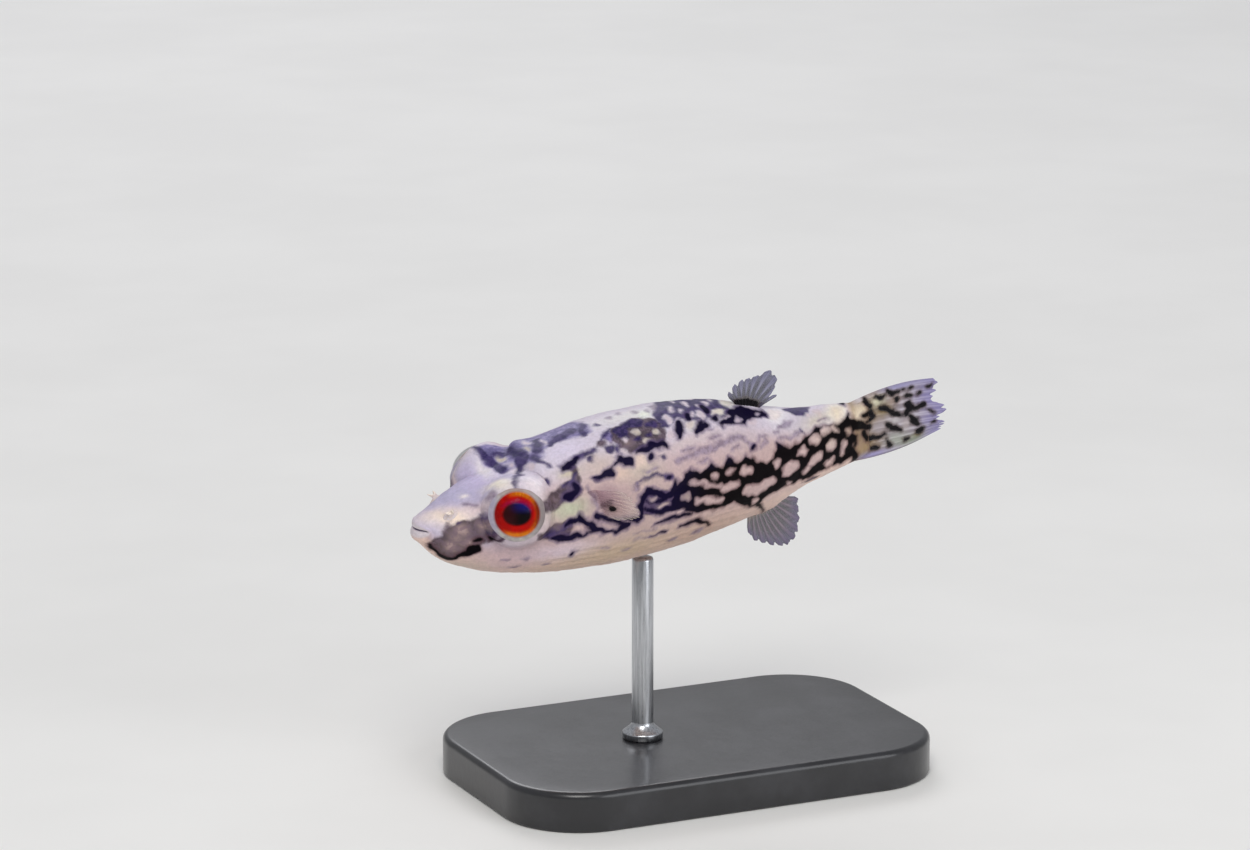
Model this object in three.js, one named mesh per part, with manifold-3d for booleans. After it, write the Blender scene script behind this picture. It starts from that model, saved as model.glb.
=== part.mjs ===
// A life-size display model of a small red-eyed freshwater pufferfish, held by one rod over a flat base.
// Millimetres, +Z up. The fish is shaped in its own frame, with x from the mouth back to the tail,
// y to its right side and z to its back, and is then tilted as a whole on the rod.
import * as THREE from "three";
import { mergeVertices } from "three/addons/utils/BufferGeometryUtils.js";
import Module from "manifold-3d";

const wasm = await Module();
wasm.setup();

// ---- Driving dimensions ----
const GAP = 0.3; // between pieces that touch
const POSE = { pitch: 7, roll: 12, x: -21.66, y: 0.3, z: 20.2 }; // degrees nose down and towards the left, mouth's place
const CUTS = { gill: 11.5, vent: 30.0 }; // planes that part head from trunk and trunk from tail
const RING_STEPS = 40; // points around the body
const SIDE_POWER = 2.15; // 2 is an ellipse, more is squarer

// Body stations, from inside the mouth, over the lips and back to the tail's root:
// x, top, bottom, half width, and how far the sides of the ring lie behind its middle.
const STATIONS = [
  [1.5, 0.62, 0.48, 0.6, 0.3],
  [0.45, 0.66, 0.44, 0.85, 0.5],
  [0.08, 0.8, 0.3, 0.98, 0.65],
  [0.0, 1.02, 0.02, 1.1, 0.75],
  [0.22, 1.3, -0.34, 1.26, 0.75],
  [0.55, 1.38, -0.7, 1.38, 0.65],
  [1.2, 1.78, -1.5, 1.72, 0.45],
  [2.3, 2.4, -2.35, 2.2, 0.2],
  [3.6, 2.95, -3.0, 2.75, 0.05],
  [5.2, 3.5, -3.6, 3.32, 0],
  [7.0, 3.95, -4.1, 3.9, 0],
  [9.0, 4.6, -4.5, 4.4, 0],
  [12.0, 5.3, -4.95, 4.8, 0],
  [16.0, 5.7, -5.25, 4.95, 0],
  [20.0, 5.6, -5.2, 4.65, 0],
  [24.0, 5.05, -4.85, 4.0, 0],
  [27.0, 4.12, -4.35, 3.35, 0],
  [29.5, 3.18, -3.7, 2.7, 0],
  [32.0, 2.65, -2.95, 2.05, 0],
  [34.0, 2.4, -2.55, 1.55, 0],
  [35.6, 2.25, -2.35, 1.05, 0],
  [36.4, 2.0, -2.15, 0.6, 0],
];
// Eyeball: its centre, mirrored to both sides, its radius, and the way it looks, in degrees forward and up.
const EYE = { x: 6.86, y: 2.9, z: 1.92, radius: 2.4, depth: 1.7, forward: 22, up: 15 };
const ORBIT = { radius: 2.62, blend: 0.9 }; // the dome of flesh round each eye
// Pegs on the skin: how far round they stand from the back, in degrees, and how far they lean towards the tail.
const NOSTRIL = { x: 2.45, turn: 39, height: 0.65, radius: 0.34, lean: -15 };
const VENT = { x: 24.9, turn: 180, height: 0.9, radius: 0.55, lean: 40 };

// Fins. Each is a fan: its base runs from start to end. Along the base, from 0 to 1, its rays' angles and
// lengths and the way they bend follow their lists. Angles are in degrees from straight back, up positive.
const FIN_THICK = { base: 0.85, tip: 0.52, ray: 0.14 };
const FIN_ROOT = 0.7; // how far a fin reaches into the body before it is fitted to it
const DORSAL = {
  start: [25.9, 4.6], end: [27.9, 3.8], angles: [118, 98, 80, 55, 25], rays: 8, bends: [10, -6, -10],
  lengths: [1.2, 1.55, 1.9, 2.4, 3.0, 3.3, 3.0, 1.8, 1.6],
};
const ANAL = {
  start: [26.9, -4.35], end: [29.0, -3.85], angles: [-92, -80, -71, -54, -16], rays: 10, bends: [0, 8, 0],
  lengths: [1.6, 2.6, 3.2, 3.7, 4.2, 4.4, 4.1, 3.4, 2.8, 2.0],
};
const CAUDAL = {
  start: [35.9, 2.2], end: [35.9, -2.35], angles: [20, 9, 2, -3, -6], rays: 10, bends: [-18, -4, 11],
  lengths: [6.8, 7.1, 6.9, 7.4, 7.8, 7.4, 7.7, 7.5, 7.6, 7.3],
};
const PECTORAL = {
  start: [0, 0.8], end: [0, -0.8], angles: [24, 10, 2, -4, -8], rays: 10, bends: [-4, 0, 4],
  lengths: [1.9, 2.5, 3.0, 3.3, 3.5, 3.5, 3.3, 3.0, 2.6, 2.1],
  root: { x: 12.35, y: 4.35, z: 2.15 }, sweep: 40, droop: 17,
};

const BASE = { length: 34, width: 22, thick: 3, corner: 6, bevel: 0.5 };
const ROD = { x: -3.6, y: 0, radius: 0.8, collarRadius: 1.5, collarHeight: 1.2 };

// ---- Materials ----
const finish = (color, roughness, metalness = 0) =>
  new THREE.MeshStandardMaterial({ color, roughness, metalness });
const flesh = finish(0xc9b8b8, 0.45);
const finFilm = finish(0x8d8aa0, 0.4);
const redEye = finish(0xa31c0c, 0.15);
const blackEnamel = finish(0x1c1c1f, 0.35);
const steel = finish(0x9a9da1, 0.3, 1);

// ---- Curves ----
// Monotone cubic through the points (xs, ys), so that a profile never swells past its stations.
function smoothCurve(xs, ys) {
  const step = xs.slice(1).map((x, i) => x - xs[i]);
  const slope = step.map((h, i) => (ys[i + 1] - ys[i]) / h);
  const tangent = xs.map((_, i) => {
    if (i === 0) return slope[0];
    if (i === xs.length - 1) return slope[i - 1];
    if (slope[i - 1] * slope[i] <= 0) return 0;
    const before = 2 * step[i] + step[i - 1];
    const after = step[i] + 2 * step[i - 1];
    return (before + after) / (before / slope[i - 1] + after / slope[i]);
  });
  return (x) => {
    const at = Math.min(Math.max(x, xs[0]), xs[xs.length - 1]);
    let i = 0;
    while (i < xs.length - 2 && at > xs[i + 1]) i += 1;
    const h = step[i];
    const t = (at - xs[i]) / h;
    return (
      ys[i] * (1 + 2 * t) * (1 - t) ** 2 +
      h * tangent[i] * t * (1 - t) ** 2 +
      ys[i + 1] * t * t * (3 - 2 * t) +
      h * tangent[i + 1] * t * t * (t - 1)
    );
  };
}

// The larger of two numbers, rounded over where they are within `width` of each other.
function smoothMax(a, b, width) {
  const near = Math.max(width - Math.abs(a - b), 0) / width;
  return Math.max(a, b) + (near * near * width) / 4;
}

// ---- Body ----
// Distance travelled along the stations, which is what the profiles run on.
const travel = STATIONS.reduce((sum, row, i) => {
  if (i === 0) return [0];
  const gone = Math.hypot(...[0, 1, 2, 3].map((k) => row[k] - STATIONS[i - 1][k]));
  return [...sum, sum[i - 1] + gone];
}, []);
const [ringX, ringTop, ringBottom, ringHalf, ringBack] = [0, 1, 2, 3, 4].map((k) =>
  smoothCurve(travel, STATIONS.map((row) => row[k])),
);
const LIP_ROW = 3; // the station furthest forward
const travelAtX = smoothCurve(
  STATIONS.slice(LIP_ROW).map((row) => row[0]),
  travel.slice(LIP_ROW),
);

// How far the orbit's sphere reaches from the ring's middle along (side, up), or -Infinity if it is missed.
function orbitReach(x, side, up, middle, eyeSide) {
  const slice = ORBIT.radius ** 2 - (x - EYE.x) ** 2;
  const [cy, cz] = [eyeSide * EYE.y, EYE.z - middle];
  const along = side * cy + up * cz;
  const inside = along ** 2 - cy ** 2 - cz ** 2 + slice;
  return slice > 0 && inside > 0 ? along + Math.sqrt(inside) : -Infinity;
}

// A point of the skin: `distance` along the stations, `turn` from the back over the right side, pushed out by `grow`.
function skinPoint(distance, turn, grow = 0) {
  const x = ringX(distance);
  const middle = (ringTop(distance) + ringBottom(distance)) / 2;
  const half = (ringTop(distance) - ringBottom(distance)) / 2;
  const [side, up] = [Math.sin(turn), Math.cos(turn)];
  const flat = (Math.abs(side) / ringHalf(distance)) ** SIDE_POWER + (Math.abs(up) / half) ** SIDE_POWER;
  let reach = flat ** (-1 / SIDE_POWER);
  for (const eyeSide of [-1, 1]) {
    reach = smoothMax(reach, orbitReach(x, side, up, middle, eyeSide), ORBIT.blend);
  }
  reach += grow;
  return new THREE.Vector3(x + ringBack(distance) * side ** 2, reach * side, middle + reach * up);
}

// ---- Solids ----
const plainGeometry = (geometry) => {
  const bare = geometry.clone();
  for (const name of ["normal", "uv"]) bare.deleteAttribute(name);
  return mergeVertices(bare, 1e-4);
};

function solidOf(geometry, matrix = new THREE.Matrix4()) {
  const g = plainGeometry(geometry).applyMatrix4(matrix);
  return new wasm.Manifold(
    new wasm.Mesh({
      numProp: 3,
      vertProperties: new Float32Array(g.attributes.position.array),
      triVerts: new Uint32Array(g.index.array),
    }),
  );
}

function geometryOf(solid) {
  const mesh = solid.getMesh();
  const geometry = new THREE.BufferGeometry();
  geometry.setAttribute("position", new THREE.BufferAttribute(Float32Array.from(mesh.vertProperties), 3));
  geometry.setIndex(new THREE.BufferAttribute(Uint32Array.from(mesh.triVerts), 1));
  const split = geometry.toNonIndexed();
  split.computeVertexNormals();
  return split;
}

// A closed solid lofted through equal rings of points, with a fan over each end.
function loft(rings) {
  const count = rings[0].length;
  const centre = (ring) =>
    ring.reduce((sum, p) => sum.add(p), new THREE.Vector3()).divideScalar(count);
  const points = [...rings.flat(), centre(rings[0]), centre(rings[rings.length - 1])];
  const [firstCap, lastCap] = [points.length - 2, points.length - 1];
  const lastRing = (rings.length - 1) * count;
  const faces = [];
  for (let j = 0; j < count; j += 1) {
    const next = (j + 1) % count;
    faces.push(firstCap, next, j, lastCap, lastRing + j, lastRing + next);
    for (let i = 0; i < lastRing; i += count) {
      faces.push(i + j, i + next, i + count + next, i + j, i + count + next, i + count + j);
    }
  }
  // Six times the volume tells which way the faces point; a solid wound inwards is turned round.
  const corners = [0, 1, 2];
  const volume = faces.reduce((sum, _, k) => {
    if (k % 3) return sum;
    const [a, b, c] = corners.map((corner) => points[faces[k + corner]]);
    return sum + a.dot(b.clone().cross(c));
  }, 0);
  if (volume < 0) faces.reverse();
  const geometry = new THREE.BufferGeometry().setFromPoints(points);
  geometry.setIndex(faces);
  return geometry;
}

function bodyStretch(distances, grow = 0) {
  const turns = Array.from({ length: RING_STEPS }, (_, j) => (2 * Math.PI * j) / RING_STEPS);
  return loft(distances.map((d) => turns.map((turn) => skinPoint(d, turn, grow))));
}

const evenly = (from, to, count) =>
  Array.from({ length: count }, (_, i) => from + ((to - from) * i) / (count - 1));

function peg({ radius, height }) {
  const outline = [[0, -radius], [radius, -radius], [radius * 0.85, height * 0.6], [radius * 0.55, height], [0, height]];
  return new THREE.LatheGeometry(outline.map(([r, h]) => new THREE.Vector2(r, h)), 12);
}

// The place of a peg on the skin, on the side that `side` tells.
function pegPlace(shape, side) {
  const turn = side * THREE.MathUtils.degToRad(shape.turn);
  const foot = skinPoint(travelAtX(shape.x), turn);
  const out = new THREE.Vector3(0, Math.sin(turn), Math.cos(turn));
  const across = new THREE.Vector3(0, Math.cos(turn), -Math.sin(turn));
  out.applyAxisAngle(across, THREE.MathUtils.degToRad(shape.lean));
  const turned = new THREE.Quaternion().setFromUnitVectors(new THREE.Vector3(0, 1, 0), out);
  return new THREE.Matrix4().compose(foot, turned, new THREE.Vector3(1, 1, 1));
}

// ---- Eyes ----
// The seen cap of the eyeball, `depth` thick, as a profile turned about the way the eye looks.
function eyeCap(grow = 0) {
  const radius = EYE.radius + grow;
  const back = EYE.radius - EYE.depth - grow;
  const widest = Math.sqrt(radius ** 2 - Math.max(back, 0) ** 2);
  const last = Math.asin(widest / radius);
  const dome = evenly(0, last, 9).map((a) => new THREE.Vector2(radius * Math.sin(a), radius * Math.cos(a)));
  return new THREE.LatheGeometry([...dome, new THREE.Vector2(0, radius * Math.cos(last))].reverse(), 28);
}

function eyePlace(eyeSide) {
  const [forward, up] = [EYE.forward, EYE.up].map(THREE.MathUtils.degToRad);
  const look = new THREE.Vector3(
    -Math.sin(forward),
    eyeSide * Math.cos(forward) * Math.cos(up),
    Math.cos(forward) * Math.sin(up),
  ).normalize();
  const turned = new THREE.Quaternion().setFromUnitVectors(new THREE.Vector3(0, 1, 0), look);
  return { centre: new THREE.Vector3(EYE.x, eyeSide * EYE.y, EYE.z), turned };
}

// ---- Fins ----
// A fan in the (x, z) plane, thickened along y. Rays are ridges, and each ends in its own rounded lobe.
function fanSolid(fan) {
  const columns = 2 * fan.rays;
  const rows = 7;
  const [angleAt, bendAt, lengthAt] = [fan.angles, fan.bends, fan.lengths].map((list) =>
    smoothCurve(evenly(0, 1, list.length), list),
  );
  const face = (sign) =>
    evenly(0, 1, rows).map((t) =>
      evenly(0, 1, columns + 1).map((s, c) => {
        const [x0, x1, z0, z1] = [fan.start[0], fan.end[0], fan.start[1], fan.end[1]];
        const angle = THREE.MathUtils.degToRad(angleAt(s) + bendAt(s) * t);
        const lobe = c % 2 === 0 ? -0.22 : 0.06;
        const reach = -FIN_ROOT + t * (lengthAt(s) + lobe + FIN_ROOT);
        const ridge = c % 2 === 0 ? 0 : FIN_THICK.ray * (1 - 0.6 * t);
        const half = (THREE.MathUtils.lerp(FIN_THICK.base, FIN_THICK.tip, t) + ridge) / 2;
        return new THREE.Vector3(
          THREE.MathUtils.lerp(x0, x1, s) + reach * Math.cos(angle),
          sign * half,
          THREE.MathUtils.lerp(z0, z1, s) + reach * Math.sin(angle),
        );
      }),
    );
  const [near, far] = [face(-1), face(1)];
  // Each row of the fan becomes a ring: out along one face and back along the other.
  return loft(near.map((row, i) => [...row, ...far[i].slice().reverse()]));
}

function pectoralPlace(finSide) {
  const { root, sweep, droop } = PECTORAL;
  const place = new THREE.Matrix4().makeTranslation(root.x, finSide * root.y, root.z);
  place.multiply(new THREE.Matrix4().makeRotationZ(finSide * THREE.MathUtils.degToRad(sweep)));
  return place.multiply(new THREE.Matrix4().makeRotationY(THREE.MathUtils.degToRad(droop)));
}

// ---- Assembly ----
const model = new THREE.Group();
const tilt = new THREE.Group();
tilt.position.set(POSE.x, POSE.y, POSE.z);
tilt.rotation.y = -THREE.MathUtils.degToRad(POSE.pitch);
const fish = new THREE.Group();
fish.rotation.x = THREE.MathUtils.degToRad(POSE.roll);
tilt.add(fish);
model.add(tilt);

function addMesh(parent, name, geometry, material) {
  const mesh = new THREE.Mesh(geometry, material);
  mesh.name = name;
  parent.add(mesh);
  return mesh;
}

const tailEnd = travel[travel.length - 1];
const gillAt = (offset) => travelAtX(CUTS.gill + offset);
const ventAt = (offset) => travelAtX(CUTS.vent + offset);
const wholeBody = solidOf(bodyStretch([...travel.slice(0, 6), ...evenly(travel[6], tailEnd, 44)], GAP));

function buildHead() {
  const snout = travel.slice(0, 8);
  const rest = evenly(travelAtX(2.9), gillAt(-GAP / 2), 19);
  let head = solidOf(bodyStretch([...snout, ...rest]));
  for (const side of [-1, 1]) {
    const { centre, turned } = eyePlace(side);
    const place = new THREE.Matrix4().compose(centre, turned, new THREE.Vector3(1, 1, 1));
    head = head.subtract(solidOf(eyeCap(GAP), place));
    head = head.add(solidOf(peg(NOSTRIL), pegPlace(NOSTRIL, side)));
  }
  addMesh(fish, "head", geometryOf(head), flesh);
}

function buildTrunk() {
  const trunk = solidOf(bodyStretch(evenly(gillAt(GAP / 2), ventAt(-GAP / 2), 18)));
  const vent = solidOf(peg(VENT), pegPlace(VENT, 1));
  addMesh(fish, "trunk", geometryOf(trunk.add(vent)), flesh);
}

function buildTail() {
  const tail = bodyStretch([...evenly(ventAt(GAP / 2), travelAtX(35.4), 8), ...travel.slice(-2)]);
  addMesh(fish, "tail", tail, flesh);
}

function buildEyes() {
  for (const [name, side] of [["eye_left", -1], ["eye_right", 1]]) {
    const { centre, turned } = eyePlace(side);
    const eye = addMesh(fish, name, eyeCap(), redEye);
    eye.position.copy(centre);
    eye.quaternion.copy(turned);
  }
}

function buildFins() {
  for (const [name, fan] of [["fin_dorsal", DORSAL], ["fin_anal", ANAL], ["fin_caudal", CAUDAL]]) {
    addMesh(fish, name, geometryOf(solidOf(fanSolid(fan)).subtract(wholeBody)), finFilm);
  }
  for (const [name, side] of [["fin_pectoral_left", -1], ["fin_pectoral_right", 1]]) {
    const fan = solidOf(fanSolid(PECTORAL), pectoralPlace(side));
    addMesh(fish, name, geometryOf(fan.subtract(wholeBody)), finFilm);
  }
}

function buildStand() {
  const [hx, hy, r] = [BASE.length / 2, BASE.width / 2, BASE.corner];
  const outline = new THREE.Shape();
  outline.moveTo(-hx + r, -hy);
  outline.lineTo(hx - r, -hy);
  outline.absarc(hx - r, -hy + r, r, -Math.PI / 2, 0);
  outline.absarc(hx - r, hy - r, r, 0, Math.PI / 2);
  outline.absarc(-hx + r, hy - r, r, Math.PI / 2, Math.PI);
  outline.absarc(-hx + r, -hy + r, r, Math.PI, 1.5 * Math.PI);
  const { bevel } = BASE;
  const slab = new THREE.ExtrudeGeometry(outline, {
    depth: BASE.thick - 2 * bevel, bevelThickness: bevel, bevelSize: bevel, bevelOffset: -bevel,
    bevelSegments: 2, curveSegments: 6,
  });
  slab.translate(0, 0, bevel);
  addMesh(model, "stand_base", slab, blackEnamel);

  // The rod rises from the base to just under the belly, which it follows with a flat top.
  tilt.updateMatrixWorld(true);
  const belly = evenly(travelAtX(14), travelAtX(22), 60)
    .flatMap((d) => evenly(0.7 * Math.PI, 1.3 * Math.PI, 60).map((turn) => skinPoint(d, turn)))
    .map((p) => p.applyMatrix4(fish.matrixWorld))
    .filter((p) => Math.hypot(p.x - ROD.x, p.y - ROD.y) < ROD.radius + GAP);
  const top = Math.min(...belly.map((p) => p.z)) - GAP;
  const foot = BASE.thick + GAP;
  const { radius, collarRadius, collarHeight } = ROD;
  const profile = [
    [0, foot], [collarRadius, foot], [collarRadius, foot + collarHeight * 0.6],
    [radius, foot + collarHeight], [radius, top], [0, top],
  ];
  const rod = new THREE.LatheGeometry(profile.map(([x, y]) => new THREE.Vector2(x, y)), 20);
  const mesh = addMesh(model, "stand_rod", rod, steel);
  mesh.rotation.x = Math.PI / 2;
  mesh.position.set(ROD.x, ROD.y, 0);
}

buildHead();
buildTrunk();
buildTail();
buildEyes();
buildFins();
buildStand();

export default model;
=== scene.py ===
import math

import bpy
import numpy as np
from bpy.props import FloatProperty, FloatVectorProperty, IntProperty, PointerProperty
from mathutils import Matrix, Vector


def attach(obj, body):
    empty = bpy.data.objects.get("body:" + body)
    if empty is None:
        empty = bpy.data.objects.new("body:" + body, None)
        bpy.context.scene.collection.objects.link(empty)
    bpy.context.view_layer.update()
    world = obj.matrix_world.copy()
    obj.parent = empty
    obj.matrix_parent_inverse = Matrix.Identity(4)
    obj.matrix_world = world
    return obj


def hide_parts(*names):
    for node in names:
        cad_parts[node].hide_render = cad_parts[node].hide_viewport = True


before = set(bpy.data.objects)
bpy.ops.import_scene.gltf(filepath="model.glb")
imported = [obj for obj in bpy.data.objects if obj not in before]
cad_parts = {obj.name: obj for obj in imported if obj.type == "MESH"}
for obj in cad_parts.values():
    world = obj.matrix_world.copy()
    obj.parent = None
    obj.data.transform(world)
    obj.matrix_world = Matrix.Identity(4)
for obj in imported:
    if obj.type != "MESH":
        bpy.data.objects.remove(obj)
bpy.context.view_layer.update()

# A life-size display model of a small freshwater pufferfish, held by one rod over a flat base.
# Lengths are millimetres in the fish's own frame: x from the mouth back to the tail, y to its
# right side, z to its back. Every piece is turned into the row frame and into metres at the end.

bl_info = {
    "name": "Pufferfish display model",
    "version": (1, 0, 0),
    "blender": (4, 5, 0),
    "location": "View3D > Sidebar > Pufferfish",
    "description": "Skin, eyes, fins and stand of a small freshwater pufferfish",
    "category": "Object",
}

MM = 0.001


def srgb(red, green, blue):
    """A screen colour, 0 to 255 a channel, as scene-linear numbers: the screen's curve is a power of 2.4
    above 10 and straight below."""
    return tuple(((c / 255 + 0.055) / 1.055) ** 2.4 if c > 10 else c / 3294.6 for c in (red, green, blue))


# ---------------------------------------------------------------- the body's form
# Degrees that the nose points down and that the back leans to the left, and where the origin of the fish's
# frame lies over the base, in millimetres
POSE = {"pitch": 7, "roll": 12, "place": (-21.66, 0.3, 20.2)}
# The rings' squareness: 2 is an ellipse
SIDE_POWER = 2.15
# The rings from the mouth's inside to the tail's root, in millimetres:
# x, top, bottom, half width, and how far the sides of the ring lie behind its middle
STATIONS = np.array([
    (1.2, 0.91, 0.88, 0.6, 0.3), (0.4, 0.92, 0.86, 0.85, 0.5), (0.12, 0.96, 0.82, 0.98, 0.65),
    (0.0, 1.08, 0.68, 1.08, 0.75), (0.1, 1.4, 0.16, 1.24, 0.75), (0.5, 1.62, -0.5, 1.4, 0.65),
    (1.2, 1.9, -1.45, 1.72, 0.45), (2.3, 2.42, -2.35, 2.2, 0.2), (3.6, 2.95, -3.0, 2.75, 0.05),
    (5.2, 3.5, -3.6, 3.32, 0), (7.0, 3.95, -4.1, 3.9, 0), (9.0, 4.6, -4.5, 4.4, 0),
    (12.0, 5.3, -4.95, 4.8, 0), (16.0, 5.7, -5.25, 4.95, 0), (20.0, 5.6, -5.2, 4.65, 0),
    (24.0, 5.05, -4.85, 4.0, 0), (27.0, 4.12, -4.35, 3.35, 0), (29.5, 3.18, -3.7, 2.7, 0),
    (32.0, 2.65, -2.95, 2.05, 0), (34.0, 2.4, -2.55, 1.55, 0), (35.6, 2.25, -2.35, 1.05, 0),
    (36.4, 2.05, -2.2, 0.5, 0), (37.0, 1.95, -2.1, 0.12, 0),
])
# The foremost station, where the lips meet, and the one where they end
LIP_ROW, LIPS_END_ROW = 3, 6
# The right eyeball's centre, and the sphere that swells the skin round each eye
EYE_CENTRE = (6.86, 2.9, 1.92)
ORBIT = {"radius": 2.62, "blend": 0.9}
SIDES = {"left": -1, "right": 1}
# Floors that keep a division safe, and a reach that never wins
TINY, FAINT, NOWHERE = 1e-9, 1e-6, -1e6


def smooth_curve(xs, ys):
    """A monotone cubic through the points, so that a profile never swells past its stations."""
    xs, ys = np.asarray(xs, float), np.asarray(ys, float)
    step, rise = np.diff(xs), np.diff(ys)
    slope = rise / step
    tangent = np.empty_like(ys)
    tangent[0], tangent[-1] = slope[0], slope[-1]
    before, after = 2 * step[1:] + step[:-1], step[1:] + 2 * step[:-1]
    same = slope[1:] * slope[:-1] > 0
    first, second = np.where(same, slope[:-1], 1.0), np.where(same, slope[1:], 1.0)
    tangent[1:-1] = np.where(same, (before + after) / (before / first + after / second), 0.0)

    def at(x):
        """The curve's height over x, held level past its ends."""
        x = np.clip(x, xs[0], xs[-1])
        i = np.clip(np.searchsorted(xs, x, side="left") - 1, 0, len(step) - 1)
        t = (x - xs[i]) / step[i]
        return (ys[i] * (1 + 2 * t) * (1 - t) ** 2 + step[i] * tangent[i] * t * (1 - t) ** 2
                + ys[i + 1] * t * t * (3 - 2 * t) + step[i] * tangent[i + 1] * t * t * (t - 1))

    return at


TRAVEL = np.concatenate([[0], np.cumsum(np.sqrt((np.diff(STATIONS[:, :4], axis=0) ** 2).sum(1)))])
ring_x, ring_top, ring_bottom, ring_half, ring_back = [
    smooth_curve(TRAVEL, STATIONS[:, column]) for column in range(5)
]
travel_at_x = smooth_curve(STATIONS[LIP_ROW:, 0], TRAVEL[LIP_ROW:])


def ease(low, high, value):
    """0 below low, 1 above high and a smooth S between."""
    t = np.clip((value - low) / (high - low), 0, 1)
    return t * t * (3 - 2 * t)


def mix(a, b, share):
    """a at share 0 and b at share 1."""
    return a + (b - a) * share


def hump(value, centre, width):
    """A bell of height 1."""
    return np.exp(-(((value - centre) / width) ** 2))


def smooth_max(a, b, width):
    """The larger of two, rounded over where they are within width of each other."""
    near = np.maximum(width - np.abs(a - b), 0) / width
    return np.maximum(a, b) + near * near * width / 4


def smooth_min(a, b, width):
    """The smaller of two, rounded in the same way."""
    return -smooth_max(-a, -b, width)


def body_point(distance, turn, orbits=True):
    """The skin at a distance along the stations and a turn from the back over the right side: a squarish
    oval ring, with a sphere melted into each side for the orbit. A ring is bowed back towards its sides by
    the square of the share of its half width."""
    x = ring_x(distance)
    middle = (ring_top(distance) + ring_bottom(distance)) / 2
    half = (ring_top(distance) - ring_bottom(distance)) / 2
    side, up = np.sin(turn), np.cos(turn)
    flat = (np.abs(side) / ring_half(distance)) ** SIDE_POWER + (np.abs(up) / half) ** SIDE_POWER
    reach = flat ** (-1 / SIDE_POWER)
    if orbits:
        eye_x, eye_y, eye_z = EYE_CENTRE
        for eye_side in SIDES.values():
            slice_ = ORBIT["radius"] ** 2 - (x - eye_x) ** 2
            cy, cz = eye_side * eye_y, eye_z - middle
            along = side * cy + up * cz
            inside = along ** 2 - cy ** 2 - cz ** 2 + slice_
            met = (slice_ > 0) & (inside > 0)
            sphere = np.where(met, along + np.sqrt(np.maximum(inside, 0)), NOWHERE)
            reach = smooth_max(reach, sphere, ORBIT["blend"])
    bow = ring_back(distance) * (reach * side / ring_half(distance)) ** 2
    return np.stack([x + bow, reach * side, middle + reach * up], -1)


def turning(axis, degrees):
    """The 3x3 turn about one axis, 0 x, 1 y or 2 z."""
    c, s = math.cos(math.radians(degrees)), math.sin(math.radians(degrees))
    i, j = [k for k in range(3) if k != axis]
    sign = -1 if axis == 1 else 1
    turn = np.eye(3)
    turn[i, i] = turn[j, j] = c
    turn[i, j], turn[j, i] = -sign * s, sign * s
    return turn


FISH_TURN = turning(1, -POSE["pitch"]) @ turning(0, POSE["roll"])


def placed(points):
    """From the fish's frame in millimetres to the row frame in metres."""
    return (points @ FISH_TURN.T + np.array(POSE["place"])) * MM


def eye_axes(side):
    """Where the eye looks, and the fish's back-pointing and upward directions across it."""
    sizes = bpy.context.scene.puffer_sizes
    f, u = sizes.eye_forward, sizes.eye_up
    look = np.array([-math.sin(f), side * math.cos(f) * math.cos(u), math.cos(f) * math.sin(u)])
    up = np.array([0, 0, 1]) - look * look[2]
    up /= np.linalg.norm(up)
    aft = np.cross(up, look)
    aft *= np.sign(aft[0])
    return look, aft, up


def eye_centre(side):
    """The middle of the eyeball on side -1, the left, or 1."""
    x, y, z = EYE_CENTRE
    return np.array([x, side * y, z])


# ---------------------------------------------------------------- noise and marks
# The distance in millimetres that stands for no mark nearby
FAR_OFF = 5.0


def wobble(points, wavelength, seed, waves=18):
    """Soft noise around 0, about 1 high: a sum of plane waves of about one wavelength in random
    directions."""
    rng = np.random.default_rng(seed)
    way = rng.normal(size=(waves, 3))
    way /= np.linalg.norm(way, axis=1, keepdims=True)
    pace = 2 * math.pi / (wavelength * rng.uniform(0.7, 1.5, waves))
    shift = rng.uniform(0, 2 * math.pi, waves)
    total = np.zeros(points.shape[:-1])
    for w, p, s in zip(way, pace, shift):
        total += np.sin(points @ w * p + s)
    return total / math.sqrt(waves / 2)


def oval(x, v, spot):
    """Distance to an oval (x, v, half length, half height, tilt in degrees), below 0 inside."""
    cx, cv, a, b = spot[:4]
    tilt = math.radians(spot[4]) if len(spot) > 4 else 0.0
    dx, dv = x - cx, v - cv
    along, across = dx * math.cos(tilt) + dv * math.sin(tilt), dv * math.cos(tilt) - dx * math.sin(tilt)
    near = np.sqrt((along / a) ** 2 + (across / b) ** 2)
    steep = np.sqrt((along / a ** 2) ** 2 + (across / b ** 2) ** 2)
    return near * (near - 1) / np.maximum(steep, FAINT)


def to_segment(x, v, start, end):
    """Distance to the straight line between two points, and the share of the way along it."""
    dx, dv = end[0] - start[0], end[1] - start[1]
    t = np.clip(((x - start[0]) * dx + (v - start[1]) * dv) / (dx * dx + dv * dv), 0, 1)
    return np.hypot(x - start[0] - t * dx, v - start[1] - t * dv), t


def stroke(x, v, points):
    """Distance to a brush stroke through points (x, v, half width), below 0 inside."""
    best = np.full(x.shape, np.inf)
    for start, end in zip(points, points[1:]):
        gap, t = to_segment(x, v, start, end)
        best = np.minimum(best, gap - mix(start[2], end[2], t))
    return best


def patch(x, v, outline):
    """Distance to a closed outline of points (x, v), below 0 inside."""
    best = np.full(x.shape, np.inf)
    inside = np.zeros(x.shape, bool)
    for (x0, v0), (x1, v1) in zip(outline, outline[1:] + outline[:1]):
        best = np.minimum(best, to_segment(x, v, (x0, v0), (x1, v1))[0])
        if v1 != v0:
            inside ^= ((v0 > v) != (v1 > v)) & (x < x0 + (v - v0) * (x1 - x0) / (v1 - v0))
    return np.where(inside, -best, best)


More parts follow.
